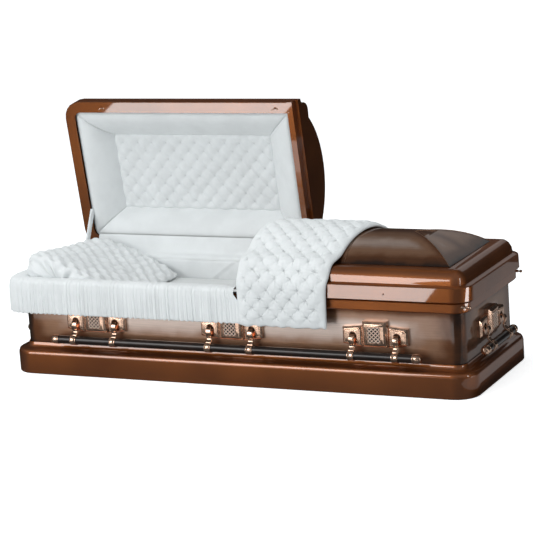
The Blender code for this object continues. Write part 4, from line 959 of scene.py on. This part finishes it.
def side_lining():
    ring, insides = wall_ring()
    section = smooth_path(LINING_SECTION, 73)[:-1]
    s = np.concatenate([[0.0], np.cumsum(np.linalg.norm(np.diff(ring, axis=0), axis=1))])
    inset = section[None, :, 0] + 0.0 * s[:, None]
    z = section[None, :, 1] + 0.0 * s[:, None]
    on_face = np.clip((inset - 0.022) / 0.005, 0.0, 1.0) * np.clip((z - 0.215) / 0.03, 0.0, 1.0)
    on_face = on_face * (inset < 0.031)
    slack = 0.0010 * waves(s[:, None] + 0.9 * z, 71, 0.30) + 0.0006 * waves(s[:, None] - 1.4 * z, 72, 0.12)
    back = (ring[:, 1] > 0.29)[:, None]
    off_line = (ring[:, 0][:, None] + 0.258 - (z - 0.383) * 1.32) * 0.604
    fold = back * (0.0030 * np.exp(-(off_line / 0.006) ** 2)
                   - 0.0022 * np.exp(-((off_line - 0.012) / 0.009) ** 2))
    inset = inset + (slack + fold) * on_face
    points = np.zeros((len(s), section.shape[0], 3))
    points[:, :, 0] = ring[:, None, 0] + insides[:, None, 0] * inset
    points[:, :, 1] = ring[:, None, 1] + insides[:, None, 1] * inset
    points[:, :, 2] = z
    mesh = grid_mesh("wall_lining", points, wrap_rows=True, wrap_columns=True)
    item = add_piece("wall_lining", mesh, CREPE, "casket", "side_lining", slot="white_crepe")
    return item


print("wall lining", len(side_lining().data.polygons), "quads")


# %% [markdown]
# ### Apron, foot lining and stay
#
# A loose strip of crepe hides the hinge from inside: it hangs from the lid's back border and tucks in
# behind the wall lining. The foot lid has a plain board lining.
# The stay that holds the head lid open is a steel bar in a sewn crepe sleeve, a little gathered.

# %% Hinge apron
APRON_SECTION = [(0.2765, 0.3750), (0.2795, 0.3875), (0.2880, 0.3925), (0.3080, 0.3935), (0.3215, 0.4005),
                 (0.3300, 0.4210), (0.3390, 0.4430), (0.3455, 0.4590), (0.3480, 0.4650)]


def apron():
    low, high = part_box("back_apron")
    xs = np.linspace(low[0] + 0.001, high[0] - 0.001, 260)
    front = smooth_path(APRON_SECTION, 40)
    share = np.linspace(0.0, 1.0, 40)
    belly = np.sin(np.pi * share)
    points = np.zeros((260, 40, 3))
    points[:, :, 0] = xs[:, None]
    sag = 0.0010 * waves(xs, 81, 0.19)[:, None] + 0.0007 * waves(xs, 82, 0.055)[:, None]
    points[:, :, 1] = front[None, :, 0] + sag * belly[None, :]
    points[:, :, 2] = front[None, :, 1] + 0.4 * sag * belly[None, :]
    mesh = grid_mesh("hinge_apron", points)
    item = add_piece("hinge_apron", mesh, CREPE, "casket", "back_apron", slot="white_crepe")
    solid_sheet(item, 0.0018, outward=0.0)
    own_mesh(item)
    return item


apron()


# %% Foot lid lining and covered stay
def foot_lining():
    low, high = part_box("foot_lid_lining")
    xs = np.linspace(low[0] + 0.002, high[0] - 0.002, 120)
    ys = np.linspace(low[1] + 0.002, high[1] - 0.002, 80)
    x, y = np.meshgrid(xs, ys, indexing="ij")
    edge = np.minimum(np.minimum(x - low[0], high[0] - x), np.minimum(y - low[1], high[1] - y))
    soft = np.sqrt(1.0 - (1.0 - np.clip(edge / 0.030, 0.0, 1.0)) ** 2)
    z = high[2] - 0.004 - (high[2] - low[2] - 0.007) * soft + 0.0010 * waves(x + 0.4 * y, 91, 0.12) * soft
    mesh = grid_mesh("foot_board_lining", np.stack([x, y, z], axis=-1))
    item = add_piece("foot_board_lining", mesh, CREPE, "foot_lid", "foot_lid_lining", slot="white_crepe")
    solid_sheet(item, 0.003, outward=-1.0)
    return item


foot_lining()

STAY_X, STAY_TOP, STAY_LEAN, STAY_LONG = -1.0005, (0.3414, 0.5725), math.radians(62.36), 0.197


def stay():
    sides, count = 28, 96
    t = np.linspace(0.0, 1.0, count)
    end = 0.5 * (1.0 - np.abs(2.0 * t - 1.0))
    cap = np.sqrt(1.0 - (1.0 - np.clip(end / 0.035, 0.0, 1.0)) ** 2)
    reach = -0.0095 + (STAY_LONG + 0.019) * t
    gather = 1.0 + 0.05 * waves(t * 0.2, 95, 0.013) * cap
    angle = np.linspace(0.0, math.tau, sides, endpoint=False)
    thin = 0.0068 * np.sign(np.cos(angle)) * np.abs(np.cos(angle)) ** 0.8
    wide = 0.0145 * np.sign(np.sin(angle)) * np.abs(np.sin(angle)) ** 0.9
    pucker = 1.0 + 0.04 * np.sin(3.0 * angle)[None, :] * waves(t * 0.2, 96, 0.021)[:, None]
    points = np.zeros((count, sides, 3))
    points[:, :, 0] = STAY_X + thin[None, :] * (0.05 + 0.95 * cap * gather)[:, None]
    across = wide[None, :] * (0.05 + 0.95 * cap * gather)[:, None] * pucker
    down = (-math.cos(STAY_LEAN), -math.sin(STAY_LEAN))
    points[:, :, 1] = STAY_TOP[0] + down[0] * reach[:, None] - down[1] * across
    points[:, :, 2] = STAY_TOP[1] + down[1] * reach[:, None] + down[0] * across
    mesh = grid_mesh("stay_sleeve", points, wrap_columns=True)
    item = add_piece("stay_sleeve", mesh, CREPE, "prop_arm", "lid_prop_arm", slot="white_crepe")
    return item


print("stay", [round(v, 3) for v in stay().dimensions])


# %% [markdown]
# ## Handles
#
# Each wall carries a dark bar held by strap arms, and the arms hang from cast lugs. Castings have
# chamfers, ribs and sunk panels, never bare blocks. Every side wears the same castings, so each one is
# modelled once, in its wall's own measure: x along the wall, -y away from it, z up from the pivot line.

# %% Frames of the four walls
PIVOT_OUT, PIVOT_UP = 0.028, 0.239
BAR_OUT, BAR_DOWN, BAR_THICK = 0.016, -0.080, 0.0180
WALLS = {"front": (0.0, 0.3007), "foot": (90.0, 1.010), "back": (180.0, 0.3007), "head": (270.0, 1.010)}
LUG_STEP, ARM_STEP = 0.643, 0.0955


def wall_frame(side, along=0.0):
    """Where a casting drawn at the pivot line goes on its wall."""
    angle, distance = WALLS[side]
    turn = Matrix.Rotation(math.radians(angle), 4, "Z")
    return turn @ Matrix.Translation((along, -distance, PIVOT_UP))


def finish_mesh(bm, name, angle=35.0):
    """Turn built geometry into a smooth-shaded mesh with its hard edges kept."""
    bmesh.ops.remove_doubles(bm, verts=bm.verts, dist=0.00002)
    bmesh.ops.recalc_face_normals(bm, faces=bm.faces)
    mesh = bpy.data.meshes.new(name)
    bm.to_mesh(mesh)
    bm.free()
    mesh.shade_smooth()
    mesh.set_sharp_from_angle(angle=math.radians(angle))
    return mesh


# %% Helpers for cast slabs
def inset_outline(outline, amount):
    """The same convex outline moved inwards by one amount on every edge."""
    points = [Vector(p) for p in outline]
    middle = sum(points, Vector((0.0, 0.0))) / len(points)
    lines = []
    for here, after in zip(points, points[1:] + points[:1]):
        direction = (after - here).normalized()
        normal = Vector((-direction.y, direction.x))
        if normal.dot(middle - here) < 0.0:
            normal = -normal
        lines.append((here + normal * amount, direction))
    moved = []
    for (p, d), (q, e) in zip(lines[-1:] + lines[:-1], lines):
        along = ((q - p).x * e.y - (q - p).y * e.x) / (d.x * e.y - d.y * e.x)
        moved.append(p + d * along)
    return moved


def outline_rays(outline, centre):
    """Directions from a centre that meet the outline's corners and the spaces between."""
    angles = [math.atan2(p[1] - centre[1], p[0] - centre[0]) for p in outline]
    angles += [math.pi * 2 * k / 28 - math.pi for k in range(28)]
    kept = []
    for angle in sorted(angles):
        if not kept or angle - kept[-1] > 0.02:
            kept.append(angle)
    return kept


def on_outline(outline, centre, angle):
    """Where a ray from the centre crosses the outline."""
    d = Vector((math.cos(angle), math.sin(angle)))
    best = None
    points = [Vector(p) - Vector(centre) for p in outline]
    for p, q in zip(points, points[1:] + points[:1]):
        e = q - p
        cross = d.x * e.y - d.y * e.x
        if abs(cross) < 1e-12:
            continue
        reach = (p.x * e.y - p.y * e.x) / cross
        share = (p.x * d.y - p.y * d.x) / cross
        if reach > 0.0 and -0.001 <= share <= 1.001 and (best is None or reach < best):
            best = reach
    return Vector(centre) + d * best


def slab(bm, outline, levels, hole=None, hollow_slot=1):
    """Stack rings of one outline: levels are (depth, inset) from the wall to the front face.

    A hole is (centre, radius, bottom depth): a round socket sunk into the front face."""
    centre = hole[0] if hole else tuple(sum(p[i] for p in outline) / len(outline) for i in (0, 1))
    angles = outline_rays(outline, centre)
    rings = []
    for depth, inset in levels:
        line = inset_outline(outline, inset) if inset else outline
        ring = [on_outline(line, centre, a) for a in angles]
        rings.append([bm.verts.new((p.x, -depth, p.y)) for p in ring])
    count = len(angles)
    if hole:
        _, radius, bottom = hole
        top = levels[-1][0]
        for depth, share in ((top, 1.06), (top - 0.0006, 1.0), (bottom, 0.97)):
            rings.append([bm.verts.new((centre[0] + radius * share * math.cos(a), -depth,
                                        centre[1] + radius * share * math.sin(a))) for a in angles])
    for index, (low, high) in enumerate(zip(rings, rings[1:])):
        for k in range(count):
            face = bm.faces.new((low[k], low[(k + 1) % count], high[(k + 1) % count], high[k]))
            # Painted shade: a socket's walls and bottom take the hollow slot.
            face.material_index = hollow_slot if hole and index >= len(levels) + 1 else 0
    bm.faces.new(rings[0])
    cap = bm.faces.new(rings[-1])
    cap.material_index = hollow_slot if hole else 0
    return cap


# %% [markdown]
# The middle plate of a lug carries a small panel of plaited lace, a very old knot pattern. A plait is
# easy to work out: strands run in diagonals over a grid of pegs, turn back at the border, and pass
# over and under by turns. Each strand becomes a closed line, rounded at its turns and swept as a wire.

# %% Plaited lace
LACE_SIZE = (0.0520, 0.0640)
LACE_PEGS = (6, 8)


def lace_strands(pegs):
    """Closed runs of (column, row, height) for a plait on a peg grid."""
    wide, high = pegs
    left = {(i, j) for i in range(wide + 1) for j in (0, high) if (i + j) % 2}
    left |= {(i, j) for i in (0, wide) for j in range(high + 1) if (i + j) % 2}
    strands = []
    while left:
        i, j = min(left)
        step = [1 if i == 0 else -1 if i == wide else 1, 1 if j == 0 else -1 if j == high else 1]
        first = (i, j, tuple(step))
        run = []
        while True:
            left.discard((i, j))
            over = (i % 2 == 1) if step[0] * step[1] > 0 else (i % 2 == 0)
            border = i in (0, wide) or j in (0, high)
            run.append((i, j, 0.0 if border else (1.0 if over else -1.0)))
            i, j = i + step[0], j + step[1]
            if i in (0, wide):
                step[0] = -step[0]
            if j in (0, high):
                step[1] = -step[1]
            if (i, j, tuple(step)) == first:
                break
        strands.append(run)
    return strands


def rounded_loop(points, rounds=2):
    """Cut the corners of a closed line, several times."""
    for _ in range(rounds):
        after = np.roll(points, -1, axis=0)
        points = np.stack([points * 0.75 + after * 0.25, points * 0.25 + after * 0.75], axis=1).reshape(-1, 3)
    return points


def wire(bm, path, radius, closed=True, sides=6, flat=1.0):
    """Sweep a small oval section along a line of points (x, depth, z)."""
    points = [Vector(p) for p in path]
    count = len(points)
    rings = []
    for k, point in enumerate(points):
        before = points[k - 1] if closed or k else point
        after = points[(k + 1) % count] if closed or k < count - 1 else point
        direction = (after - before).normalized()
        side = direction.cross(Vector((0.0, 1.0, 0.0))).normalized()
        out = side.cross(direction).normalized()
        rings.append([bm.verts.new(point + side * (radius * math.cos(math.tau * s / sides))
                                   + out * (radius * flat * math.sin(math.tau * s / sides)))
                      for s in range(sides)])
    for k in range(count if closed else count - 1):
        low, high = rings[k], rings[(k + 1) % count]
        for s in range(sides):
            bm.faces.new((low[s], low[(s + 1) % sides], high[(s + 1) % sides], high[s]))
    if not closed:
        bm.faces.new(rings[0])
        bm.faces.new(rings[-1])


def lace(bm, depth, middle_up):
    """The plait, laid on a sunk ground at a depth from the wall."""
    wide, high = LACE_PEGS
    pitch = (LACE_SIZE[0] / wide, LACE_SIZE[1] / high)
    for run in lace_strands(LACE_PEGS):
        grid = np.array(run)
        path = np.stack([(grid[:, 0] - wide / 2) * pitch[0], -(depth + 0.0006 * grid[:, 2]),
                         middle_up + (grid[:, 1] - high / 2) * pitch[1]], axis=1)
        faces = len(bm.faces)
        wire(bm, rounded_loop(path), 0.00205, sides=6, flat=0.55)
        bm.faces.ensure_lookup_table()
        for face in bm.faces[faces:]:
            face.material_index = 3


# %% Cast lug
WING = [(0.0570, -0.0500), (0.1410, -0.0380), (0.1410, 0.0310), (0.0570, 0.0390)]
PLATE_OUTLINE = [(-0.051, -0.047), (0.051, -0.047), (0.051, 0.058), (-0.051, 0.058)]
PANEL_MIDDLE = 0.0045


def flip(outline):
    return [(-x, z) for x, z in reversed(outline)]


def box_outline(half_x, low, high, middle=0.0):
    return [(middle - half_x, low), (middle + half_x, low), (middle + half_x, high), (middle - half_x, high)]


def lug_mesh():
    bm = bmesh.new()
    back = [(-0.1385, -0.0360), (-0.056, -0.0475), (0.056, -0.0475), (0.1385, -0.0360), (0.1385, 0.0290),
            (0.056, 0.0370), (-0.056, 0.0370), (-0.1385, 0.0290)]
    cap = slab(bm, back, [(0.0002, 0.0), (0.0105, 0.0), (0.0110, 0.0006)])
    # The back plate's face between plate and wings takes the hollow slot, painted shade.
    cap.material_index = 1
    slab(bm, PLATE_OUTLINE, [(0.0002, 0.0), (0.0200, 0.0), (0.0296, 0.0092), (0.0300, 0.0100)])
    for wing, sign in ((WING, 1.0), (flip(WING), -1.0)):
        slab(bm, wing, [(0.0002, 0.0), (0.0135, 0.0), (0.0205, 0.0068), (0.0209, 0.0076), (0.0209, 0.0096),
                        (0.0204, 0.0102), (0.0204, 0.0110), (0.0216, 0.0120), (0.0218, 0.0128)],
             hole=((sign * ARM_STEP, -0.001), 0.0145, 0.0105))
        for rib in (0.0526, 0.0552):
            slab(bm, box_outline(0.0007, -0.040, 0.036, sign * rib),
                 [(0.0100, 0.0), (0.0165, 0.0), (0.0170, 0.0004)])
    half_x, half_z = LACE_SIZE[0] / 2 + 0.0030, LACE_SIZE[1] / 2 + 0.0030
    frame_line = box_outline(half_x, PANEL_MIDDLE - half_z, PANEL_MIDDLE + half_z)
    cap = slab(bm, frame_line, [(0.0295, 0.0), (0.0308, 0.0), (0.0311, 0.0004), (0.0311, 0.0014),
                                (0.0308, 0.0018), (0.0301, 0.0020), (0.0301, 0.0026)])
    # The frame's cap is the lace's ground and takes the almost black painted shade.
    cap.material_index = 2
    lace(bm, 0.0306, PANEL_MIDDLE)
    return finish_mesh(bm, "cast_lug", 28.0)


LUG = lug_mesh()
print("lug faces", len(LUG.polygons), "strands", len(lace_strands(LACE_PEGS)))


# %% [markdown]
# A strap arm comes out of its socket, bows outward and in again, and ends in a band that grips the
# bar. It is a flat bar bent in one plane, so a rounded section is swept along the bend. The band, the
# bar and its tips are all turned work: one outline spun round the bar's own line.

# %% Strap arm, band, bar and tips
ARM_BEND = [(-0.012, 0.0015), (-0.004, 0.0012), (0.003, -0.001), (0.0085, -0.0065), (0.0118, -0.016),
            (0.0098, -0.027), (0.0045, -0.038), (0.0040, -0.046), (0.0080, -0.0530), (0.0150, -0.0575),
            (0.0165, -0.0625)]


def arm_mesh():
    bm = bmesh.new()
    bend = smooth_path(ARM_BEND, 44)
    rings = []
    corner = [(0.70, 0.50), (0.92, 0.46), (0.99, 0.30), (1.0, 0.0)]
    half = corner + [(w, -t) for w, t in reversed(corner[:-1])]
    section = half + [(-w, t) for w, t in reversed(half)]
    tangent = np.gradient(bend, axis=0)
    tangent /= np.linalg.norm(tangent, axis=1, keepdims=True)
    for k, ((out, up), (t_out, t_up)) in enumerate(zip(bend, tangent)):
        share = k / (len(bend) - 1)
        width = 0.0078 + 0.0042 * min(1.0, share / 0.28) + 0.0016 * max(0.0, (share - 0.75) / 0.25)
        crown = 0.0009
        ring = []
        for w, t in section:
            lift = t * 0.0070 + crown * (1.0 - w * w) * (1.0 if t > 0 else -0.3)
            ring.append(bm.verts.new((w * width, -(PIVOT_OUT + out - t_up * lift), up + t_out * lift)))
        rings.append(ring)
    for low, high in zip(rings, rings[1:]):
        for s in range(len(section)):
            bm.faces.new((low[s], low[(s + 1) % len(section)], high[(s + 1) % len(section)], high[s]))
    bm.faces.new(rings[0])
    bm.faces.new(rings[-1])
    spin(bm, [(-0.0140, 0.0182), (-0.0140, 0.0206), (-0.0132, 0.0216), (-0.0112, 0.0219), (-0.0100, 0.0211),
              (0.0100, 0.0211), (0.0112, 0.0219), (0.0132, 0.0216), (0.0140, 0.0206), (0.0140, 0.0182)], 40)
    return finish_mesh(bm, "strap_arm", 40.0)


def spin(bm, profile, sides, out=PIVOT_OUT + BAR_OUT, up=BAR_DOWN):
    """Turn a profile of (along, radius) round a line that runs along the wall."""
    rings = []
    for along, radius in profile:
        rings.append([bm.verts.new((along, -out + radius * math.cos(math.tau * s / sides),
                                    up + radius * math.sin(math.tau * s / sides))) for s in range(sides)])
    for low, high in zip(rings, rings[1:]):
        for s in range(sides):
            bm.faces.new((low[s], low[(s + 1) % sides], high[(s + 1) % sides], high[s]))
    for ring in (rings[0], rings[-1]):
        if (ring[0].co - ring[sides // 2].co).length > 0.0001:
            bm.faces.new(ring)


def bar_mesh(half):
    bm = bmesh.new()
    ends = [(half, BAR_THICK * 0.93), (half - 0.0012, BAR_THICK)]
    middle = [(x, BAR_THICK) for x in np.linspace(half - 0.01, -half + 0.01, 40)]
    profile = ends + middle + [(-along, radius) for along, radius in reversed(ends)]
    spin(bm, profile, 48)
    return finish_mesh(bm, "bar", 40.0)


TIP_PROFILE = [(0.0003, 0.0178), (0.0003, 0.0190), (0.0010, 0.0195), (0.0045, 0.0195), (0.0055, 0.0188),
               (0.0062, 0.0179), (0.0078, 0.0178), (0.0086, 0.0187), (0.0100, 0.0193), (0.0180, 0.0194),
               (0.0240, 0.0189), (0.0290, 0.0176), (0.0325, 0.0157), (0.0352, 0.0128), (0.0370, 0.0090),
               (0.0378, 0.0045), (0.0380, 0.0003)]


def tip_mesh():
    bm = bmesh.new()
    spin(bm, TIP_PROFILE, 48)
    return finish_mesh(bm, "bar_tip", 40.0)


ARM, TIP = arm_mesh(), tip_mesh()


# %% Hang the handles on every wall
def hang(name, mesh, matrix, material, body, node):
    mesh = mesh.copy()
    mesh.transform(matrix)
    slot = "dark_bar_enamel" if material is ENAMEL else "rose_copper_plate"
    return add_piece(name, mesh, material, body, node, slot=slot)


def hang_side(side):
    body = side + "_handle"
    long_side = side in ("front", "back")
    lugs = [(-LUG_STEP, side + "_lug_1"), (0.0, side + "_lug_2"), (LUG_STEP, side + "_lug_3")]
    lugs = lugs if long_side else [(0.0, side + "_lug")]
    number = 0
    for along, node in lugs:
        item = hang("cast_" + node, LUG, wall_frame(side, along), PLATE, "casket", node)
        # Slot 1 is painted shade in the hollows, slot 2 painted shade on the lace's ground.
        for finish in (HOLLOW_SHADE, LACE_GROUND_SHADE, LACE_WIRE):
            item.data.materials.append(finish)
        for step in (-ARM_STEP, ARM_STEP):
            number += 1
            hang("strap_%s_%d" % (side, number), ARM, wall_frame(side, along + step), PLATE, body,
                 "%s_arm_%d" % (side, number))
    low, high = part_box(side + "_bar")
    half = max(high[i] - low[i] for i in (0, 1)) / 2
    hang("turned_bar_" + side, bar_mesh(half), wall_frame(side), ENAMEL, body, side + "_bar")
    for sign, letter in ((1.0, "a"), (-1.0, "b")):
        place = wall_frame(side, sign * half)
        if sign < 0:
            place = place @ Matrix.Diagonal((-1.0, 1.0, 1.0, 1.0))
        tip = hang("turned_tip_%s_%s" % (side, letter), TIP, place, PLATE, body,
                   "%s_bar_tip_%s" % (side, letter))
        if sign < 0:
            tip.data.flip_normals()
    return number


print("arms hung", {side: hang_side(side) for side in WALLS})


# %% [markdown]
# Two small turned caps stand out of the rail at the foot end: a collar, a stem and a bright ball.

# %% Corner caps
def corner_cap(node):
    low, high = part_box(node)
    y, z = (low[1] + high[1]) / 2, (low[2] + high[2]) / 2
    length, ball = high[0] - low[0], (high[1] - low[1]) / 2
    bm = bmesh.new()
    profile = [(0.0, ball * 0.9), (length * 0.52, ball * 0.9), (length * 0.56, ball * 0.75),
               (length * 0.57, ball * 0.52), (length * 0.72, ball * 0.52)]
    for k in range(1, 12):
        angle = math.pi * (0.18 + 0.82 * k / 11)
        profile.append((length - ball - ball * math.cos(angle), max(ball * math.sin(angle), 0.0002)))
    spin(bm, profile, 28, out=0.0, up=0.0)
    mesh = finish_mesh(bm, "turned_" + node, 40.0)
    mesh.transform(Matrix.Translation((low[0], y, z)))
    return add_piece("turned_" + node, mesh, PLATE, "casket", node, slot="rose_copper_plate")


caps = [corner_cap("corner_cap_front"), corner_cap("corner_cap_back")]
print("caps", [tuple(round(v, 4) for v in cap.dimensions) for cap in caps])

# %% [markdown]
# ## Seams and small fittings
#
# Where the crown's pressed panels meet, a welded seam shows as a thin raised line along each hip, and one
# more line crosses the foot crown; their light copper colour is a painted highlight. The open lid carries
# two little latch hooks on its front flange and one rivet at its foot corner. Each is a line or a turned
# shape laid on the lid's own surface, so it opens and shuts with the lid.

# %% Crown seams
VALLEY_Z = 0.5119
HOOP_X = 0.4900


def crown_height(x, y):
    """Height of the foot crown's skin: the lower of its side vault and its end vault."""
    edge = math.sqrt(CROWN_RADIUS ** 2 - CROWN_HALF_WIDTH ** 2)
    side = math.sqrt(max(CROWN_RADIUS ** 2 - y * y, 0.0)) - edge
    run = min(max(x - (CROWN_HALF_LENGTH - CROWN_HALF_WIDTH), 0.0), CROWN_HALF_WIDTH)
    end = math.sqrt(max(CROWN_RADIUS ** 2 - run * run, 0.0)) - edge
    return VALLEY_Z + max(min(side, end), 0.0)


def seam(name, path, radius, body, material):
    bm = bmesh.new()
    wire(bm, path, radius, closed=False, sides=8)
    mesh = finish_mesh(bm, name, 60.0)
    return add_piece(name, mesh, material, body, slot="brushed_copper_brown")


def hip_path(sign_y, count=40):
    path = []
    for t in np.linspace(0.02, 0.985, count):
        y = sign_y * CROWN_HALF_WIDTH * t
        x = CROWN_HALF_LENGTH - CROWN_HALF_WIDTH * (1.0 - t)
        path.append((x, y, crown_height(x, y) + 0.0002))
    return path


def hoop_path(x, count=50):
    line = np.linspace(-0.97, 0.97, count) * CROWN_HALF_WIDTH
    return [(x, y, crown_height(x, y) + 0.0002) for y in line]


# Painted highlight: the seams are coloured a light copper, brighter than the crown around them.
SEAM_HIGHLIGHT = plated("seam_painted_highlight", (0.50, 0.30, 0.20), 0.34)
for side, sign in (("front", -1.0), ("back", 1.0)):
    seam("foot_crown_seam_" + side, hip_path(sign), 0.0013, "foot_lid", SEAM_HIGHLIGHT)
    mirrored = np.array([(-x, y, z) for x, y, z in hip_path(sign)])
    seam("head_crown_seam_" + side, opened(mirrored), 0.0013, "head_lid", SEAM_HIGHLIGHT)
seam("foot_crown_hoop", hoop_path(HOOP_X), 0.0012, "foot_lid", SEAM_HIGHLIGHT)
print("seams laid")


# %% Latch hooks and rivet
def latch_hook(name, x):
    """A small bent steel hook that stands on the open lid's front flange."""
    line = [(x + 0.010, -0.3150, 0.3905), (x + 0.006, -0.3170, 0.3885), (x + 0.001, -0.3185, 0.3850),
            (x - 0.004, -0.3180, 0.3815), (x - 0.009, -0.3150, 0.3808), (x - 0.012, -0.3120, 0.3830)]
    bm = bmesh.new()
    wire(bm, opened(np.array(line)), 0.0022, closed=False, sides=10)
    foot = Matrix.Translation(opened(np.array([line[0]]))[0]) @ Matrix.Diagonal((1, 0.5, 1, 1))
    bmesh.ops.create_uvsphere(bm, u_segments=16, v_segments=8, radius=0.0042, matrix=foot)
    mesh = finish_mesh(bm, name, 60.0)
    return add_piece(name, mesh, PLATE, "head_lid", slot="rose_copper_plate")


def rivet(name, place, radius, body, material):
    bm = bmesh.new()
    profile = [(0.0, 1.0), (0.25, 0.98), (0.45, 0.85), (0.62, 0.55), (0.70, 0.20), (0.705, 0.02)]
    turns = [math.tau * k / 20 for k in range(20)]
    rings = [[bm.verts.new((radius * r * math.cos(turn), -radius * up, radius * r * math.sin(turn)))
              for turn in turns] for up, r in profile]
    for low, high in zip(rings, rings[1:]):
        for k in range(20):
            bm.faces.new((low[k], low[(k + 1) % 20], high[(k + 1) % 20], high[k]))
    bm.faces.new(rings[0])
    bm.faces.new(rings[-1])
    mesh = finish_mesh(bm, name, 60.0)
    mesh.transform(Matrix.Translation(place))
    return add_piece(name, mesh, material, body, slot="rose_copper_plate")


hooks = [latch_hook("latch_hook_head", -0.858), latch_hook("latch_hook_middle", -0.007)]
flange = opened(np.array([(0.0560, -0.300, 0.3905)]))[0]
rivet("flange_rivet", flange, 0.0034, "head_lid", PLATE)
rivet("band_stud", (0.700, -0.3453, 0.4180), 0.0035, "foot_lid", GLOSS)
print("hooks", [tuple(round(v, 4) for v in hook.dimensions) for hook in hooks])
